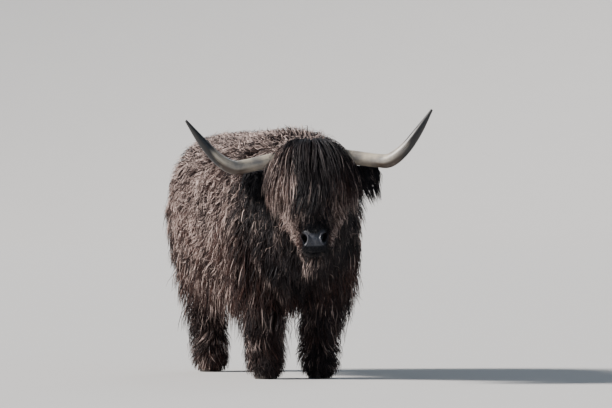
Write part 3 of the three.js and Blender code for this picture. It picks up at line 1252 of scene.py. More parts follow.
@dataclass
class Horns:
    """The two horns: out from the poll, forward and down a little, then up to black tips."""

    stations: Rows = (
        # across, back and up from the poll, and the radius, in millimetres
        (62, 4, -8, 33),
        (130, 2, -14, 34),
        (206, -14, -26, 33),
        (310, -48, -44, 32),
        (368, -74, -44, 32.5),
        (436, -102, 4, 27),
        (502, -114, 84, 20),
        (569, -104, 180, 5.5),
    )
    around: int = 32
    count: int = 120
    ridges: float = 34.0  # growth rings along a whole horn
    ridge_height: float = 1.1

    def horn(self, side: Side) -> Mesh:
        """Lofts one horn, ringed near its root.

        Args:
            side: which horn.

        Returns:
            Its mesh, with how far along, around and under each point is.
        """
        clay = Clay()
        rings = tuple((x, y, z, r, r, r) for x, y, z, r in self.stations)
        clay.loft(Part.HEAD, rings, HEAD.level, side.value, (0, -1, 0), self.around, self.count)
        along = np.array([label[1] for label in clay.labels])
        mesh = mesh_of(clay.bm, f"horn_{side.word}")
        points, normals = points_of(mesh), normals_of(mesh)
        wave = np.sin(along * self.ridges * 2 * math.pi + 0.8 * np.sin(along * 23))
        height = self.ridge_height * MM * wave * smooth(0.42, 0.05, along)
        move_to(mesh, points + normals * height[:, None])
        turn = np.arange(len(along)) % self.around / self.around
        colour_points(mesh, "horn", along, np.abs(turn - 0.5) * 2, np.clip(-normals[:, 2], 0, 1))
        return mesh

    def build(self, material: Material) -> None:
        """Builds both horns in place of the frame's own.

        Args:
            material: what they are made of.
        """
        for side in Side:
            piece = finish_piece(f"horn_sheath_{side.word}", self.horn(side), material)
            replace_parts(piece, f"horn_{side.word}")


@dataclass
class Eyes:
    """The eyeballs, with a bulging cornea that looks out between the lids."""

    cornea: float = math.radians(38)
    bulge: float = 1.5 * MM
    iris: float = 11.0  # millimetres
    pupil: tuple[float, float] = (6.4, 3.6)

    def eyeball(self, side: Side) -> Mesh:
        """Turns one eyeball, and marks its pupil and iris.

        Args:
            side: which eye.

        Returns:
            Its mesh.
        """
        radius = EYEBALL_RADIUS * MM
        middle = middle_of(f"eye_{side.word}")
        look, long, high = (np.array(HEAD.axes) @ axis for axis in LIDS.axes(side))
        turn = Matrix(np.stack([long, high, look]).T.tolist()).to_4x4()
        bm = bmesh.new()
        shape = Matrix.Translation(middle) @ turn
        bmesh.ops.create_uvsphere(bm, u_segments=56, v_segments=40, radius=radius, matrix=shape)
        mesh = mesh_of(bm, f"eye_{side.word}")
        spoke = points_of(mesh) - np.array(middle)
        facing = spoke @ look / radius
        angle = np.arccos(np.clip(facing, -1, 1))
        lift = 1 + self.bulge / radius * smooth(self.cornea, 0.2, angle)
        move_to(mesh, np.array(middle) + spoke * lift[:, None])
        x, y = spoke @ long / MM, spoke @ high / MM
        front = facing > 0
        slit = np.where(front, np.hypot(x / self.pupil[0], y / self.pupil[1]), 9.0)
        out = np.where(front, np.hypot(x, y) / self.iris / 1.6, 1.0)
        colour_points(mesh, "eye", slit, out, np.arctan2(y, x) / math.tau + 0.5)
        return mesh

    def build(self, material: Material) -> None:
        """Builds both eyes in place of the frame's own.

        Args:
            material: what they are made of.
        """
        for side in Side:
            piece = finish_piece(f"eyeball_{side.word}", self.eyeball(side), material)
            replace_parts(piece, f"eye_{side.word}")


@dataclass
class Hooves:
    """The eight claws, rounded over and ringed as they grew."""

    grain: float = 0.0032
    ring_step: float = 7.5 * MM
    ring_height: float = 0.6 * MM
    sole: float = 4.5 * MM  # points lower than this lie on the floor

    def claw(self, node: str) -> Mesh:
        """Rounds over one of the frame's claws and rings its wall.

        Args:
            node: the claw's node.

        Returns:
            The new mesh.
        """
        bm = bmesh.new()
        bm.from_mesh(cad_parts[node].data)
        bmesh.ops.remove_doubles(bm, verts=bm.verts, dist=1e-5)
        mesh = applied(
            mesh_of(bm, node),
            ("REMESH", {"mode": "VOXEL", "voxel_size": self.grain}),
            ("SMOOTH", {"factor": 0.5, "iterations": 5}),
        )
        points, normals = points_of(mesh), normals_of(mesh)
        wall = normals * np.array((1, 1, 0))
        phase = points[:, 2] * 2 * math.pi / self.ring_step + 2.5 * points[:, 1] / 0.05
        points = points + wall * (self.ring_height * np.sin(phase))[:, None]
        points[:, 2] = np.where(points[:, 2] < self.sole, 0.0, points[:, 2])
        move_to(mesh, points)
        for polygon in mesh.polygons:
            polygon.use_smooth = True
        return mesh

    def build(self, material: Material) -> None:
        """Builds all the claws in place of the frame's own.

        Args:
            material: what they are made of.
        """
        for side in Side:
            for leg in LEGS:
                for place in ("outer", "inner"):
                    foot = f"{leg}_{side.word}_{place}"
                    claw = self.claw(f"claw_{foot}")
                    piece = finish_piece(f"hoof_{foot}", claw, material)
                    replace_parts(piece, f"claw_{foot}")


# ---------------- the coat


def clouds(points: Array, span: float, seed: int) -> Array:
    """Gives places a smooth chance number, alike for neighbours.

    Args:
        points: the places, in metres.
        span: how far apart unlike places are, in metres.
        seed: which pattern.

    Returns:
        One number per place, mostly between -1 and 1.
    """
    rng = np.random.default_rng(seed)
    waves = unit(rng.normal(size=(7, 3))) * rng.uniform(0.6, 1.6, (7, 1)) * math.tau / span / 2
    return np.sin(points @ waves.T + rng.uniform(0, math.tau, 7)).sum(axis=1) / 2.6


@dataclass
class Roots:
    """Where locks grow: places on the skin, its normals there, and what part of the body it is."""

    points: Array
    normals: Array
    part: Array

    @property
    def body(self) -> Array:
        """The places in body coordinates, in millimetres."""
        return (self.points - np.array(STANCE.origin)) / MM

    @property
    def head(self) -> Array:
        """The places in the head's coordinates, in millimetres."""
        return HEAD.local(self.points)


@dataclass(frozen=True)
class Markings:
    """The coat's colouring, for the skin and the coat alike: shares of dust and red, from 0 to 1."""

    dust: float = 0.46  # how sun-bleached the tips are, low on the sides
    dust_by_height: float = 0.19
    dust_on_top: float = 0.20
    red: float = 0.45  # how red the brown is, high on the sides
    red_low_down: float = 0.40
    red_on_top: float = -0.25
    shoulder_clean: float = 0.36  # the share of its dust that a place loses
    foreleg_clean: float = 0.45
    hindleg_clean: float = 0.62
    # the chest loses dust and red partly because its hair is darker and partly as painted shade on the front
    chest_shade_dust_loss: float = 0.85
    legs_brown: float = 0.45  # the share of its red that a place loses
    chest_shade_red_loss: float = 0.65
    # painted shade: the share of its pale cheek hair that the cow's left cheek loses, as if turned from the
    # light
    left_cheek_dark: float = 0.72
    bridge_half: float = 54.0  # how far the muzzle's black spreads to each side
    lip_half: float = 88.0  # how far it spreads along the mouth and below it: partly the muzzle's black hair, partly painted shadow under the muzzle
    ear: Span = (0.05, 0.12)  # the ears' dust and red
    unevenness: float = 0.40
    dust_cloud: float = 0.07  # how far apart unlike places are, in metres
    red_cloud: float = 0.20

    def face(self, head: Array) -> tuple[Array, Array]:
        """Colours the face: black down the nose, and paler on the cow's right cheek than on its left, as
        painted light and painted shade.

        Args:
            head: places in the head's coordinates.

        Returns:
            How dusty and how red each place is.
        """
        across, along, out = np.abs(head[:, 0]), head[:, 1], head[:, 2]
        # painted light: the pale band reaches farther in on the cow's right temple, the side the light comes
        # from
        temple = np.where(head[:, 0] < 0, smooth(22, 60, across), smooth(42, 80, across))
        temple = temple * (0.4 + 0.8 * smooth(-25, 45, along))
        cheek = np.maximum(smooth(30, 150, along) * smooth(10, -40, out), temple)
        nose = smooth(330, 400, along)
        bridge = smooth(250, 330, along) * smooth(70, 48, across) * smooth(-8, 8, out)
        at_mouth = smooth(14, -6, MUZZLE.from_slit(head))
        black_to = self.bridge_half + (self.lip_half - self.bridge_half) * at_mouth
        black = np.maximum(bridge, nose * smooth(8, -8, across - black_to) * smooth(-104, -84, out))
        jaw = smooth(190, 300, along) * smooth(25, -25, out)
        # painted shade on the cow's left cheek
        cheek = cheek * (1 - self.left_cheek_dark * smooth(0, 50, head[:, 0]))
        dust = 0.04 + 0.95 * cheek + 0.35 * jaw
        red = 0.22 + 0.85 * cheek * (1 - 0.70 * jaw)
        return dust * (1 - 0.92 * black), red * (1 - 0.8 * black)

    def at(self, roots: Roots) -> Array:
        """Works out the colouring of places on the skin.

        Args:
            roots: the places.

        Returns:
            One row per place: how sun-bleached and dusty the tips are, and how red the brown is.
        """
        body, part = roots.body, roots.part
        back, height, up = body[:, 1], body[:, 2], roots.normals[:, 2]
        dust = self.dust + self.dust_by_height * smooth(450, 900, height)
        dust = dust + self.dust_on_top * smooth(0.2, 0.8, up)
        red = self.red + self.red_low_down * smooth(950, 600, height)
        red = red + self.red_on_top * smooth(0.3, 0.9, up)
        shoulder = smooth(420, 160, back) * smooth(1120, 1000, height)
        dust = dust * (1 - self.shoulder_clean * shoulder)
        legs = np.isin(part, (Part.FORELEG.value, Part.HINDLEG.value)) | (height < 420)
        fore = part == Part.FORELEG.value
        low = np.where(legs, np.where(fore, smooth(520, 330, height), smooth(640, 380, height)), 0.0)
        dust = dust * (1 - np.where(fore, self.foreleg_clean, self.hindleg_clean) * low)
        red = red * (1 - self.legs_brown * low)
        # darker on the chest: partly its own darker hair, partly painted shade
        chest = smooth(20, -200, back) * smooth(1040, 900, height)
        dust, red = dust * (1 - self.chest_shade_dust_loss * chest), red * (1 - self.chest_shade_red_loss * chest)
        face = part == Part.HEAD.value
        dust, red = (np.where(face, one, other) for one, other in zip(self.face(roots.head), (dust, red)))
        ear = part == Part.EAR.value
        dust, red = np.where(ear, self.ear[0], dust), np.where(ear, self.ear[1], red)
        dust = dust * (1 + self.unevenness * clouds(roots.points, self.dust_cloud, 3))
        red = red * (1 + self.unevenness * clouds(roots.points, self.red_cloud, 4))
        return np.clip(np.stack([dust, red], axis=1), 0, 1)


MARKINGS = Markings()
Field = Callable[[Roots], Array]


@dataclass(frozen=True)
class Region:
    """One piece of the coat: where it grows, which way it lies and how. Lengths are in millimetres."""

    name: str
    grows: Field
    lie: Field
    locks: int
    long: Span
    wide: float
    depth: Span  # the least and most that the coat may stand out
    segments: int = 4
    layers: Span = (0.35, 1.06)  # which part of that depth the locks lie in
    rise: float = 0.5  # how much of its length a lock takes to reach its layer
    lift: float = 0.35  # 0 leaves the skin lying flat, 1 standing straight out
    weight: float = 0.35  # how soon it gives way to its lie
    wave: float = 9.0  # how far a lock swings from side to side
    turns: float = 1.2  # how many swings it makes
    frizz: float = 2.0  # how far each joint is kinked
    clump: float = 0.62  # how closely neighbours' tips draw together
    gap: float = 26.0  # how far apart the drawn-together tips are
    mess: float = 0.2  # how far a lock's lie strays by itself, in radians
    swirl: float = 0.25  # how far it strays along with its neighbours'
    dust: float = 0.0  # how much dustier than the skin's own markings
    stretch: Field | None = None  # makes locks longer or shorter from place to place
    start: Field | None = None  # which way the locks set off, where that isn't their lie
    by_ears: bool = False  # lies over the ears too, and not only past them


def towards(x: float, y: float, z: float) -> Field:
    """Makes a lie that points one way everywhere."""
    return lambda roots: np.tile((x, y, z), (len(roots.points), 1)).astype(float)


def on(*parts: Part) -> Field:
    """Makes a test for being on some parts of the body."""
    numbers = [part.value for part in parts]
    return lambda roots: np.isin(roots.part, numbers)


def every(*tests: Field) -> Field:
    """Makes a test that passes where all of some tests pass."""
    return lambda roots: np.logical_and.reduce([test(roots) for test in tests])


def side_of(side: Side) -> Field:
    """Makes a test for being on one side of the body."""
    return lambda roots: roots.body[:, 0] * side.value > 0


def down_the_sides(roots: Roots) -> Array:
    """The lie of the trunk and neck: parted along the spine, then back and down the sides.

    Args:
        roots: the locks' roots.

    Returns:
        One direction for each.
    """
    parted = np.tanh(roots.body[:, 0] / 70)
    top = smooth(0.25, 0.95, roots.normals[:, 2])
    return np.stack([0.12 * parted + 0.75 * parted * top, 0.2 + 0.35 * top, -1 + 0.75 * top], axis=1)


def off_the_poll(roots: Roots) -> Array:
    """The way the forelock sets off: forward over the brow, and sideways over the horns' roots.

    Args:
        roots: the locks' roots.

    Returns:
        One direction for each.
    """
    across, along, out = np.array(HEAD.axes.transposed())
    head = roots.head
    fan = np.clip(head[:, 0] / 60, -1.3, 1.3)[:, None]
    poll = smooth(70, -30, head[:, 1])[:, None]
    return across * fan * (0.35 + 1.25 * poll) + along * 0.7 + out * poll


def down_the_face(roots: Roots) -> Array:
    """The lie of the forelock: hanging down over the face.

    Args:
        roots: the locks' roots.

    Returns:
        One direction for each.
    """
    across, along, _ = np.array(HEAD.axes.transposed())
    fan = np.clip(roots.head[:, 0] / 100, -1.1, 1.1)[:, None]
    return along * 0.35 - across * fan * 0.13 + np.array((0.0, 0.0, -0.75))


def forelock_length(roots: Roots) -> Array:
    """Grades the forelock: shorter where it grows low on the temples."""
    return 1 - 0.36 * smooth(45, 85, np.abs(roots.head[:, 0])) * smooth(0, 80, roots.head[:, 1])


def down_the_cheeks(roots: Roots) -> Array:
    """The lie of the face below the forelock: hanging, and a little towards the nose."""
    along = np.array(HEAD.axes.col[1])
    return 0.35 * along + np.array((0.0, 0.0, -0.8)) + 0 * roots.points


def ragged_hem(roots: Roots) -> Array:
    """Grades the trunk's hair: longer low on the flanks, and uneven along its hem."""
    low = smooth(900, 600, roots.body[:, 2])
    return 0.8 + low * (0.45 + 0.35 * clouds(roots.points, 0.16, 9))


def under_the_tail(roots: Roots) -> Array:
    """Grades the rump's hair: longer behind, where the tail hangs against it."""
    return 1 + 0.6 * smooth(130, 50, np.abs(roots.body[:, 0])) * smooth(0.2, 0.7, roots.normals[:, 1])


def ear_length(roots: Roots) -> Array:
    """Grades the ears' hair: longest underneath, and shorter towards the tips."""
    tip = smooth(190, 320, np.abs(roots.head[:, 0]))
    return (0.55 + 0.65 * smooth(0.4, -0.6, roots.normals[:, 2])) * (1.1 - 0.42 * tip)


def beard_length(roots: Roots) -> Array:
    """Grades the beard: longest in the middle, under the chin."""
    return 0.7 + 0.4 * smooth(62, 5, np.abs(roots.head[:, 0])) * smooth(250, 400, roots.head[:, 1])


def cheek_length(roots: Roots) -> Array:
    """Grades the face's hair: shorter on the brow, at the outer cheeks and towards the nose.

    Args:
        roots: the locks' roots.

    Returns:
        One share for each.
    """
    across, along, out = np.abs(roots.head[:, 0]), roots.head[:, 1], roots.head[:, 2]
    outer = smooth(78, 100, across) * smooth(60, 170, along)
    return 1 - 0.40 * smooth(250, 370, along) - 0.30 * smooth(-30, 10, out) - 0.34 * outer


def muzzle_length(roots: Roots) -> Array:
    """Grades the muzzle's hair: longer low down and farther back from the nose."""
    return 1 + 1.9 * smooth(470, 395, roots.head[:, 1]) * smooth(18, -20, roots.head[:, 2])


def off_the_nose(roots: Roots) -> Array:
    """The lie of the short hair round the muzzle: away from the nose, and down.

    Args:
        roots: the locks' roots.

    Returns:
        One direction for each.
    """
    across, along, out = np.array(HEAD.axes.transposed())
    head = roots.head
    side = np.tanh(head[:, 0] / 30)[:, None]
    above = smooth(-10, 25, head[:, 2])[:, None]
    sideways = across * side * (0.7 - 0.4 * above)
    return sideways - along * 0.25 * (1 - above) + np.array((0, 0, -0.6)) + along * above


def off_the_ear(roots: Roots) -> Array:
    """The lie of the ear's fringe: outwards along the ear, and hanging."""
    side = np.sign(roots.head[:, 0])[:, None]
    return np.array(HEAD.axes.col[0]) * side * 0.26 + np.array((0, -0.05, -1.0))


@dataclass
class Coat:
    """The winter coat, grown lock by lock over the skin. Each lock is a thin closed, tapering blade."""

    skin: Mesh
    clay: Clay
    horns: list[Mesh]
    seed: int = 7
    patch: float = 0.003  # how wide a lock's patch of the bake map is
    blur: float = 26.0  # how far regions run into each other, in millimetres
    floor: float = 5.0 * MM  # no lock hangs lower than this
    alike: float = 0.4  # how many locks take their shade from the lock that leads them

    def __post_init__(self) -> None:
        """Reads the skin's faces, the part each is on, and the outer surface the coat reaches."""
        self.rng = np.random.default_rng(self.seed)
        self.points, self.normals = points_of(self.skin), normals_of(self.skin)
        self.triangles = triangles_of(self.skin)
        a, b, c = (self.points[self.triangles[:, i]] for i in range(3))
        across = np.cross(b - a, c - a)
        self.areas = np.linalg.norm(across, axis=1) / 2
        centres = (a + b + c) / 3
        self.faces = Roots(centres, unit(across), self.parts_at(centres))
        head = self.faces.part == Part.HEAD.value
        stray = self.rng.normal(size=centres.shape)
        spread = np.where(head, 0.3, 1.0)[:, None] * self.blur * MM
        self.blurred = Roots(centres + stray * spread, self.faces.normals + 0.12 * stray, self.faces.part)
        self.clear = self.haired(self.faces)
        earless = self.triangles[self.faces.part != Part.EAR.value]
        self.body = BVHTree.FromPolygons(self.points.tolist(), earless.tolist())
        self.whole = BVHTree.FromPolygons(self.points.tolist(), self.triangles.tolist())
        self.outer = joined_tree([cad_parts[name].data for name in FLESH])
        self.horn_tree = joined_tree(self.horns)

    def parts_at(self, places: Array) -> Array:
        """Finds which part of the body places are on.

        Args:
            places: places in the frame.

        Returns:
            The parts' numbers.
        """
        marks = KDTree(len(self.clay.spots))
        for index, spot in enumerate(self.clay.spots):
            marks.insert(spot, index)
        marks.balance()
        return np.array([self.clay.labels[marks.find(place)[1]][0].value for place in places])

    def haired(self, roots: Roots) -> Array:
        """Says where hair grows at all: not on the nose pad, lips, eyes or floor.

        Args:
            roots: places on the skin.

        Returns:
            True for each place where hair grows.
        """
        head = roots.head
        clear = MUZZLE.bare(head) < 0.3
        for side in Side:
            clear &= LIDS.opening(head, side) > 1.3
            clear &= np.linalg.norm(head - LIDS.middle(side), axis=1) > EYEBALL_RADIUS + 1
        return clear & (roots.points[:, 2] > 0.03)

    def depths(self, roots: Roots, reach: float = 0.2) -> Array:
        """Measures how far the outer surface is above each root.

        Args:
            roots: places on the skin.
            reach: how far to look, in metres.

        Returns:
            The distances, or 0 where nothing is above.
        """
        found = np.zeros(len(roots.points))
        for index, (start, way) in enumerate(zip(roots.points, roots.normals)):
            way, place = Vector(way), Vector(start)
            for _ in range(5):
                hit, face, _, _ = self.outer.ray_cast(place, way, reach)
                if hit is None:
                    break
                place = hit + way * 1e-4
                again = self.outer.ray_cast(place, way, 2 * MM)
                if face.dot(way) > 0 and (again[0] is None or again[1].dot(way) > 0):
                    found[index] = (hit - Vector(start)).length
                    break
        return found

    def sow(self, region: Region) -> Roots:
        """Scatters a region's roots evenly over its part of the skin.

        Args:
            region: the region.

        Returns:
            The roots.
        """
        chosen = np.flatnonzero(region.grows(self.blurred) & self.clear)
        weights = np.cumsum(self.areas[chosen])
        self.area = weights[-1]
        count = region.locks
        ticks = (np.arange(count) + self.rng.random(count)) / count * self.area
        picks = chosen[np.searchsorted(weights, ticks).clip(0, len(chosen) - 1)]
        u, v = self.rng.random((2, count))
        flip = u + v > 1
        u[flip], v[flip] = 1 - u[flip], 1 - v[flip]
        share = np.stack([1 - u - v, u, v], axis=1)[:, :, None]
        corners = self.triangles[picks]
        points = (self.points[corners] * share).sum(axis=1)
        normals = unit((self.normals[corners] * share).sum(axis=1))
        return Roots(points, normals, self.faces.part[picks])

    def comb(self, region: Region, roots: Roots, length: Array) -> tuple[Array, Array]:
        """Grows each lock from its root, joint by joint, over the skin and down.

        Args:
            region: the region that the roots are in.
            roots: where the locks start.
            length: how long each is, in metres.

        Returns:
            The locks' joints, and the skin's outward direction at each.
        """
        count = len(roots.points)
        tree = self.whole if region.by_ears else self.body
        lie = unit(region.lie(roots))
        turn = self.rng.normal(0, region.mess, count) + region.swirl * clouds(roots.points, 0.13, 5)
        turn = turn[:, None]
        lie = unit(lie * np.cos(turn) + np.cross(roots.normals, lie) * np.sin(turn))
        least, most = region.depth
        depth = np.clip(self.depths(roots), least * MM, most * MM)
        layer = depth * self.rng.uniform(*region.layers, count)
        normal = roots.normals
        setting_off = unit(region.start(roots)) if region.start else lie
        heading = unit(setting_off * (1 - region.lift) + normal * region.lift)
        place = roots.points - normal * 2 * MM
        joints, outward = [place], [normal]
        for k in range(1, region.segments + 1):
            inward = np.minimum((lie * normal).sum(axis=1, keepdims=True), 0)
            combed = unit(lie - normal * inward)
            heading = unit(heading * (1 - region.weight) + combed * region.weight)
            place = place + heading * (length / region.segments)[:, None]
            foot, normal = nearest_on(tree, place)
            height = ((place - foot) * normal).sum(axis=1)
            rise = layer * smooth(0, region.rise, np.full(count, k / region.segments))
            place = place + normal * np.maximum(rise - height, 0)[:, None]
            if region.name in NEAR_HORNS:
                foot, horn_normal = nearest_on(self.horn_tree, place)
                inside = 3 * MM - ((place - foot) * horn_normal).sum(axis=1)
                place = place + horn_normal * np.clip(inside, 0, 0.03)[:, None]
            place[:, 2] = np.maximum(place[:, 2], self.floor)
            joints.append(place)
            outward.append(normal)
        return np.stack(joints, axis=1), np.stack(outward, axis=1)

    def curl(self, region: Region, joints: Array, outward: Array) -> tuple[Array, Array]:
        """Draws neighbouring tips together, and gives the locks their wave and frizz.

        Args:
            region: the region that the locks are in.
            joints: the locks' joints.
            outward: the skin's outward direction at each joint.

        Returns:
            The moved joints, and the number of the lock that each lock is drawn to.
        """
        count, steps, _ = joints.shape
        along = np.linspace(0, 1, steps)[None, :, None]
        leaders = self.rng.permutation(count)[: max(3, int(self.area * 1e6 / region.gap**2))]
        tree = KDTree(len(leaders))
        for index, leader in enumerate(leaders):
            tree.insert(joints[leader, 0], index)
        tree.balance()
        leader = leaders[[tree.find(root)[1] for root in joints[:, 0]]]
        apart = (joints[:, :1] - joints[leader][:, :1]) * (1 - 0.75 * along)
        pull = region.clump * along**1.4 * self.rng.uniform(0.5, 1, (count, 1, 1))
        joints = joints * (1 - pull) + (joints[leader] + apart) * pull
        side = unit(np.cross(np.gradient(joints, axis=1), outward))
        shared = self.rng.uniform(0, math.tau, (count, 1, 1))[leader]
        phase = shared + self.rng.normal(0, 0.6, (count, 1, 1))
        turns = region.turns * self.rng.uniform(0.75, 1.25, (count, 1, 1))
        angle = math.tau * turns * along + phase
        swing = region.wave * MM * along**0.6 * self.rng.uniform(0.4, 1.3, (count, 1, 1))
        joints = joints + side * np.sin(angle) * swing + outward * np.cos(angle) * swing * 0.45
        joints = joints + self.rng.normal(0, region.frizz * MM, joints.shape) * along
        joints[:, :, 2] = np.maximum(joints[:, :, 2], self.floor)
        return joints, leader

    def blades(self, region: Region, joints: Array, outward: Array) -> Array:
        """Works out the corners of thin closed blades of three sides.

        Args:
            region: the region that the locks are in.
            joints: the locks' joints.
            outward: the skin's outward direction at each joint.

        Returns:
            For each lock, three corners at each joint but the last, and then its tip.
        """
        count, steps, _ = joints.shape
        heading = unit(np.gradient(joints, axis=1))
        side = unit(np.cross(heading, outward))
        ridge = np.cross(side, heading)
        twist = self.rng.normal(0, 0.6, (count, 1, 1))
        c, s = np.cos(twist), np.sin(twist)
        side, ridge = side * c + ridge * s, ridge * c - side * s
        along = np.linspace(0, 1, steps)[None, :-1, None]
        shape = np.minimum(1, 0.55 + 1.8 * along) * (1 - along**1.8) ** 0.7
        half = region.wide * MM / 2 * self.rng.uniform(0.55, 1.4, (count, 1, 1)) * shape
        middle, side, ridge = joints[:, :-1], side[:, :-1], ridge[:, :-1]
        corners = np.stack([middle + side * half, middle + ridge * half * 0.75, middle - side * half], axis=2)
        return np.concatenate([corners.reshape(count, (steps - 1) * 3, 3), joints[:, -1:]], axis=1)

    def weave(self, region: Region, joints: Array, outward: Array, tint: Array, bake: Array) -> Mesh:
        """Turns the locks' joints into one mesh of closed blades.

        Args:
            region: the region they are in.
            joints: the locks' joints.
            outward: the skin's outward direction at each joint.
            tint: one row per lock: its chance shade, its dust and its redness.
            bake: one row per lock: where it is on the bake map.

        Returns:
            The mesh, with its bake map, its strand map and its tufts' shades.
        """
        count, steps, _ = joints.shape
        rings = steps - 1
        corners = self.blades(region, joints, outward)
        pattern, sizes, map_pattern = blade_pattern(rings)
        starts = (np.arange(count) * corners.shape[1])[:, None]
        mesh = bpy.data.meshes.new(region.name)
        mesh.vertices.add(corners.shape[0] * corners.shape[1])
        mesh.vertices.foreach_set("co", corners.astype(np.float32).ravel())
        mesh.loops.add(count * len(pattern))
        mesh.loops.foreach_set("vertex_index", (starts + pattern).astype(np.int32).ravel())
        totals = np.tile(sizes, count)
        mesh.polygons.add(len(totals))
        mesh.polygons.foreach_set("loop_start", np.append(0, np.cumsum(totals)[:-1]).astype(np.int32))
        mesh.polygons.foreach_set("use_smooth", np.ones(len(totals), dtype=bool))
        mesh.update(calc_edges=True)
        bake = bake[:, None] + (map_pattern - 0.5) * self.patch
        strand = map_pattern + self.rng.uniform(0, 20, (count, 1, 2))
        for name, places in (("OFBake", bake), ("Strand", strand)):
            layer = mesh.uv_layers.new(name=name)
            layer.data.foreach_set("uv", places.astype(np.float32).ravel())
        along = np.append(np.repeat(np.linspace(0, 1, steps)[:rings], 3), 1.0)
        columns = np.repeat(tint, corners.shape[1], axis=0).T
        colour_points(mesh, "tuft", columns[0], np.tile(along, count), columns[1], columns[2])
        return mesh

    def unwrap(self, roots: Roots) -> Array:
        """Unrolls a region's roots from round an axis under the skin, to fill the bake map.

        Args:
            roots: where the locks start.

        Returns:
            One pair of map coordinates for each root.
        """
        middle = roots.points.mean(axis=0)
        spread, axes = np.linalg.eigh(np.cov((roots.points - middle).T))
        outward = roots.normals.mean(axis=0)
        outward = outward - axes[:, 2] * outward.dot(axes[:, 2])
        up = unit((outward if np.linalg.norm(outward) > 0.1 else axes[:, 1])[None])[0]
        local = roots.points - middle + outward * 2 * math.sqrt(spread[1])
        angle = np.arctan2(local @ np.cross(axes[:, 2], up), local @ up)
        flat = np.stack([local @ axes[:, 2], angle], axis=1)
        low, high = flat.min(axis=0), flat.max(axis=0)
        return self.patch + (flat - low) / (high - low) * (1 - 2 * self.patch)

    def grow(self, region: Region, material: Material) -> None:
        """Grows one region of the coat as a piece of its own.

        Args:
            region: the region.
            material: what the coat is made of.
        """
        roots = self.sow(region)
        count = len(roots.points)
        length = self.rng.uniform(*region.long, count) * MM
        if region.stretch:
            length = length * region.stretch(roots)
        joints, outward = self.comb(region, roots, length)
        joints, leader = self.curl(region, joints, outward)
        chance = self.rng.random(count)
        chance = np.where(self.rng.random(count) < self.alike, chance[leader], chance)
        colouring = MARKINGS.at(roots) + np.array((region.dust, 0.0))
        colouring = np.clip(colouring * self.rng.uniform(0.55, 1.45, colouring.shape), 0, 1)
        bake = self.unwrap(roots)
        mesh = self.weave(region, joints, outward, np.column_stack([chance, colouring]), bake)
        finish_piece(region.name, mesh, material)

    def mark(self) -> None:
        """Gives the skin the same markings as the coat over it, marks its bare places, and marks painted
        shade inside its nostrils and mouth.
        """
        parts = self.parts_at(self.points)
        colouring = MARKINGS.at(Roots(self.points, self.normals, parts))
        head = HEAD.local(self.points)
        bare = MUZZLE.bare(head)
        for side in Side:
            bare = np.maximum(bare, smooth(1.5, 1.25, LIDS.opening(head, side)))
        # painted shade inside the nostrils and the mouth's slit
        hollow_shade = smooth(1.0, 0.7, MUZZLE.from_nostril(head))
        slit = smooth(12.0, 7.0, np.abs(MUZZLE.from_slit(head))) * smooth(400, 425, head[:, 1])
        hollow_shade = np.maximum(hollow_shade, slit * (head[:, 2] > MUZZLE.underside))
        colour_points(self.skin, "marks", colouring[:, 0], colouring[:, 1], bare, hollow_shade)


def joined_tree(meshes: list[Mesh]) -> BVHTree:
    """Joins some meshes into one tree, to measure from.

    Args:
        meshes: the meshes.

    Returns:
        The tree.
    """
    corners: list[list[float]] = []
    faces: list[list[int]] = []
    for mesh in meshes:
        faces += (triangles_of(mesh) + len(corners)).tolist()
        corners += points_of(mesh).tolist()
    return BVHTree.FromPolygons(corners, faces)


def nearest_on(tree: BVHTree, places: Array) -> tuple[Array, Array]:
    """Finds the nearest places on a surface, and its normals there."""
    found = [tree.find_nearest(place)[:2] for place in places.tolist()]
    return np.array([f[0] for f in found]), np.array([f[1] for f in found])


def blade_pattern(rings: int) -> tuple[Array, Array, Array]:
    """Lays out one blade's faces, and its patch of a map.

    Args:
        rings: how many rings of three corners it has before its tip.

    Returns:
        The corners of its faces in turn, how many each face has, and their places in a unit square.
    """
    rows = np.linspace(0.1, 1, rings + 1)
    corners: list[int] = []
    places: list[tuple[float, float]] = []
    for k in range(rings - 1):
        for j in range(3):
            n = (j + 1) % 3
            corners += [3 * k + j, 3 * k + n, 3 * k + 3 + n, 3 * k + 3 + j]
            low, high, left, right = rows[k], rows[k + 1], j / 3, (j + 1) / 3
            places += [(left, low), (right, low), (right, high), (left, high)]
    last, tip = 3 * (rings - 1), 3 * rings
    for j in range(3):
        corners += [last + j, last + (j + 1) % 3, tip]
        places += [(j / 3, rows[-2]), ((j + 1) / 3, rows[-2]), ((j + 0.5) / 3, 1.0)]
    corners += [2, 1, 0]
    places += [(0.0, 0.0), (1.0, 0.0), (0.5, 0.09)]
    sizes = [4] * (3 * (rings - 1)) + [3] * 4
    return np.array(corners), np.array(sizes), np.array(places)


NEAR_HORNS = ("coat_forelock", "coat_face")


def between(what: str, axis: int, low: float = -math.inf, high: float = math.inf) -> Field:
    """Makes a test for lying between two values along one axis.

    Args:
        what: which of the roots' "body", "head" or "normals" is looked at.
        axis: 0, 1 or 2.
        low: the least value, in millimetres but for normals.
        high: the most.

    Returns:
        The test.
    """
    return lambda roots: (getattr(roots, what)[:, axis] > low) & (getattr(roots, what)[:, axis] < high)


def isnt(test: Field) -> Field:
    """Makes the opposite test."""
    return lambda roots: ~test(roots)


is_top = between("normals", 2, low=0.42)  # the back
is_under = between("normals", 2, high=-0.55)  # the belly
is_front = between("body", 1, high=-70)  # the chest
is_rear = between("body", 1, low=1060)  # the rump
is_high = between("body", 2, low=560)  # above the flanks' hem
above_knee = between("body", 2, low=330)
is_crown = every(between("head", 1, high=100), between("head", 2, low=-42))  # the forelock's place
is_jaw = every(between("head", 1, low=205), between("head", 2, high=-8))
is_muzzle = between("head", 1, low=362)
is_beard = every(between("head", 1, low=150), between("head", 2, high=-92))  # under the jaw


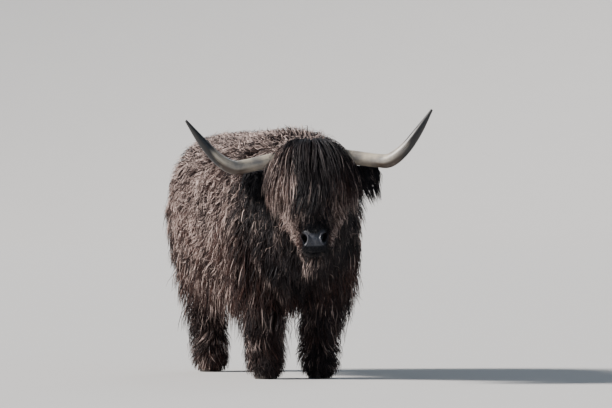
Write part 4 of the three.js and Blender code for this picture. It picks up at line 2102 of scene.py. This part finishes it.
def sided_regions(side: Side) -> list[Region]:
    """Lists the pieces of the coat that one side of the cow has to itself.

    Args:
        side: which side.

    Returns:
        The regions.
    """
    here, word = side_of(side), side.word
    body = on(Part.TRUNK, Part.NECK)
    regions = [
        Region(
            f"coat_back_{word}", every(here, body, is_top, isnt(is_rear)), down_the_sides,
            locks=3700, long=(50, 90), wide=4.8, depth=(26, 62), lift=0.55, weight=0.32, frizz=1.3,
            clump=0.5, gap=36, mess=0.75, swirl=0.7, dust=0.05,
        ),
        Region(
            f"coat_flank_{word}",
            every(here, on(Part.TRUNK), isnt(is_top), isnt(is_under), isnt(is_front), isnt(is_rear)),
            down_the_sides,
            locks=5600, long=(75, 135), wide=4.8, depth=(30, 90), wave=10, turns=1.1, frizz=1.3, clump=0.74,
            gap=32, mess=0.42, swirl=0.55, stretch=ragged_hem,
        ),
        Region(
            f"coat_neck_{word}", every(here, on(Part.NECK), isnt(is_top)), down_the_sides,
            locks=2200, long=(95, 150), wide=5.2, depth=(30, 120), turns=1.1, clump=0.6, gap=38, mess=0.28,
            swirl=0.35,
        ),
        Region(
            f"coat_wisps_{word}", every(here, body, isnt(is_under), is_high), down_the_sides,
            locks=1500, long=(45, 95), wide=2.3, segments=6, depth=(34, 95), layers=(0.8, 1.1), lift=0.6,
            weight=0.25, wave=11, turns=1.3, frizz=0.8, clump=0.15, mess=1.0, swirl=0.6, dust=0.35, gap=34,
        ),
        Region(
            f"coat_ear_{word}", every(here, on(Part.EAR)), off_the_ear,
            locks=1500, long=(85, 165), wide=3.4, depth=(6, 22), lift=0.3, weight=0.42, wave=4, turns=1.0,
            frizz=1.6, clump=0.82, swirl=0.2, stretch=ear_length, by_ears=True,
        ),
    ]
    for leg, part, locks in (("foreleg", Part.FORELEG, 1900), ("hindleg", Part.HINDLEG, 1500)):
        regions += [
            Region(
                f"coat_upper_{leg}_{word}", every(here, on(part), above_knee), towards(0, 0.1, -1),
                locks=locks, long=(140, 215), wide=5.2, depth=(35, 120), weight=0.42, gap=36,
            ),
            Region(
                f"coat_lower_{leg}_{word}", every(here, on(part), isnt(above_knee)),
                towards(0, 0.05, -1),
                locks=2000, long=(70, 125), wide=4.0, segments=3, depth=(24, 80), lift=0.4, weight=0.4,
                wave=5, turns=0.9, clump=0.5, mess=0.26, swirl=0.35,
                stretch=lambda roots: 1 - 0.35 * smooth(150, 60, roots.body[:, 2]),
            ),
        ]
    return regions


MIDDLE_REGIONS = (
    # the pieces of the coat that cross the middle: head, chest, belly, rump and tail
    Region(
        "coat_belly", every(on(Part.TRUNK), is_under, isnt(is_front), isnt(is_rear)),
        towards(0, 0.08, -1),
        locks=1900, long=(130, 205), wide=5.6, depth=(30, 140), lift=0.6, weight=0.5, wave=8, gap=40,
        mess=0.25, stretch=ragged_hem,
    ),
    Region(
        "coat_rump", every(on(Part.TRUNK), is_rear), down_the_sides,
        locks=3000, long=(65, 115), wide=4.8, depth=(25, 75), turns=1.1, frizz=1.8, mess=0.4, swirl=0.5,
        gap=34, stretch=under_the_tail,
    ),
    Region(
        "coat_chest", every(on(Part.TRUNK), is_front, isnt(is_top)), towards(0, -0.08, -1),
        locks=3300, long=(120, 185), wide=6.2, depth=(40, 150), layers=(0.25, 1.06), wave=10, turns=1.1,
        gap=40, mess=0.22, swirl=0.3,
    ),
    Region(
        "coat_forelock", every(on(Part.HEAD), is_crown), down_the_face,
        locks=3950, long=(190, 370), wide=3.9, segments=6, depth=(30, 90), rise=0.22, lift=0.3,
        weight=0.5, wave=5, turns=0.9, frizz=1.3, clump=0.7, mess=0.08, swirl=0.1,
        stretch=forelock_length, start=off_the_poll,
    ),
    Region(
        "coat_face",
        every(on(Part.HEAD), isnt(is_crown), isnt(is_jaw), isnt(is_muzzle), isnt(is_beard)),
        down_the_cheeks,
        locks=2300, long=(105, 200), wide=3.4, segments=5, depth=(12, 64), layers=(0.25, 0.85),
        weight=0.45, wave=4, turns=1.0, frizz=1.2, clump=0.65, gap=16, mess=0.12, swirl=0.12, dust=0.22,
        stretch=cheek_length,
    ),
    Region(
        "coat_jaw", every(on(Part.HEAD), is_jaw, isnt(is_muzzle), isnt(is_beard)), down_the_cheeks,
        locks=1500, long=(50, 100), wide=3.1, segments=5, depth=(16, 80), layers=(0.4, 1.1), lift=0.5,
        weight=0.28, wave=8, turns=1.5, frizz=1.3, clump=0.5, gap=16, mess=0.5, swirl=0.4, dust=0.25,
    ),
    Region(
        "coat_beard", every(on(Part.HEAD), is_beard), towards(0, 0.12, -1),
        locks=1500, long=(80, 160), wide=3.6, depth=(14, 74), weight=0.4, turns=1.3, frizz=1.8, gap=24,
        mess=0.3, swirl=0.3, dust=-0.35, stretch=beard_length,
    ),
    Region(
        "coat_muzzle", every(on(Part.HEAD), is_muzzle, isnt(is_beard)), off_the_nose,
        locks=4000, long=(12, 24), wide=2.2, segments=3, depth=(4, 16), lift=0.45, wave=2.2, turns=1.3,
        frizz=1.4, clump=0.4, gap=9, mess=0.45,
        stretch=muzzle_length,
    ),
    Region(
        "coat_tail", on(Part.TAIL), towards(0, 0.05, -1),
        locks=1500, long=(65, 100), wide=4.5, segments=5, depth=(10, 55), weight=0.48, lift=0.26,
        wave=5, turns=1.4, frizz=2.2, clump=0.5, gap=24, mess=0.14, swirl=0.15,
        stretch=lambda roots: 1 + 2.6 * smooth(760, 620, roots.body[:, 2]),
    ),
    Region(
        "coat_udder", on(Part.UDDER), towards(0, 0, -1),
        locks=450, long=(18, 32), wide=2.6, segments=3, depth=(3, 12), weight=0.4, wave=1, frizz=1.0,
        clump=0.3, gap=14, mess=0.4,
    ),
)


# ---------------- studio and camera


@dataclass(frozen=True)
class ViewCamera:
    """A long lens at the height of the cow's chest, a little round to its right."""

    azimuth: float = math.radians(-15)
    distance: float = 25.0
    height: float = 0.90
    lens: float = 310.3
    sensor: float = 36.0
    lead_right: float = 0.00265403  # how far right of the feet it looks, for each metre away
    lead_down: float = 0.00291943  # how far below its own level

    def build(self) -> None:
        """Sets up the scene's camera."""
        data = bpy.data.cameras.new("view_camera")
        data.lens = self.lens
        data.sensor_width = self.sensor
        data.clip_end = 500.0
        camera = bpy.data.objects.new("view_camera", data)
        bpy.context.scene.collection.objects.link(camera)
        forward = Vector((-math.sin(self.azimuth), math.cos(self.azimuth), 0.0))
        right = Vector((forward.y, -forward.x, 0.0))
        feet = STANCE.origin
        camera.location = feet - forward * self.distance + Vector((0, 0, self.height))
        aim = forward + right * self.lead_right - Vector((0, 0, self.lead_down))
        camera.rotation_euler = aim.to_track_quat("-Z", "Y").to_euler()
        bpy.context.scene.camera = camera


@dataclass(frozen=True)
class Lamp:
    """One far soft lamp: the way it lies from the cow, how wide it looks, how bright it is, its colour."""

    name: str
    way: tuple[float, float, float]
    wide: float  # in degrees
    strength: float
    colour: Colour


@dataclass(frozen=True)
class Studio:
    """A plain pale floor under plain soft studio light, brighter from the cow's right."""

    lamps: tuple[Lamp, ...] = (
        Lamp("key", (-0.95, 0.18, 0.60), 12.0, 11.0, (1.0, 0.95, 0.90)),
        Lamp("fill", (0.30, -1.0, 0.45), 35.0, 0.32, (0.42, 0.70, 1.0)),
        Lamp("back", (0.55, 0.85, 0.70), 25.0, 0.45, (0.85, 0.93, 1.0)),
    )
    floor: float = 60.0  # how far off the floor starts to sweep up, in metres
    sweep: float = 14.0
    sky: Colour = (0.72, 0.84, 1.0)
    sky_strength: float = 0.26

    def build(self) -> None:
        """Lays the floor, hangs the lamps and sets the light all round."""
        bm = bmesh.new()
        bends = [math.radians(a) for a in range(0, 91, 6)]
        profile = [(self.floor + self.sweep * math.sin(a), self.sweep * (1 - math.cos(a))) for a in bends]
        verts = [bm.verts.new((x, 0.0, z)) for x, z in [(0.0, 0.0), (4.0, 0.0), *profile]]
        edges = [bm.edges.new(pair) for pair in zip(verts, verts[1:])]
        bmesh.ops.spin(
            bm, geom=verts + edges, axis=(0, 0, 1), cent=(0, 0, 0), steps=96, angle=math.tau, use_merge=True
        )
        bmesh.ops.remove_doubles(bm, verts=bm.verts, dist=1e-4)
        mesh = mesh_of(bm, "floor")
        mesh.flip_normals()
        mesh.materials.append(FloorFinish().build("floor"))
        floor = bpy.data.objects.new("floor", mesh)
        bpy.context.scene.collection.objects.link(floor)
        world = bpy.data.worlds.new("studio")
        bpy.context.scene.world = world
        world.use_nodes = True
        backdrop = world.node_tree.nodes["Background"]
        backdrop.inputs["Color"].default_value = (*self.sky, 1.0)
        backdrop.inputs["Strength"].default_value = self.sky_strength
        for lamp in self.lamps:
            data = bpy.data.lights.new(lamp.name, "SUN")
            data.angle = math.radians(lamp.wide)
            data.energy = lamp.strength
            data.color = lamp.colour
            light = bpy.data.objects.new(lamp.name, data)
            way = Vector(lamp.way).normalized()
            light.location = way * 10
            light.rotation_euler = (-way).to_track_quat("-Z", "Y").to_euler()
            bpy.context.scene.collection.objects.link(light)


def main() -> None:
    """Builds the cow, its floor, lights and camera, in order."""
    logging.basicConfig(level=logging.INFO, format="%(name)s: %(message)s")
    ViewCamera().build()
    Studio().build()
    horns = Horns()
    horns.build(HornFinish().build("horn"))
    Eyes().build(EyeFinish().build("eye"))
    Hooves().build(HoofFinish().build("hoof"))
    model = Skin()
    skin = model.build()
    coat = Coat(skin, model.clay, [horns.horn(side) for side in Side])
    coat.mark()
    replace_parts(finish_piece("skin", skin, SkinFinish().build("skin")), *FLESH)
    hair = CoatFinish().build("coat")
    for region in (*sided_regions(Side.LEFT), *sided_regions(Side.RIGHT), *MIDDLE_REGIONS):
        coat.grow(region, hair)


if __name__ == "__main__":
    main()
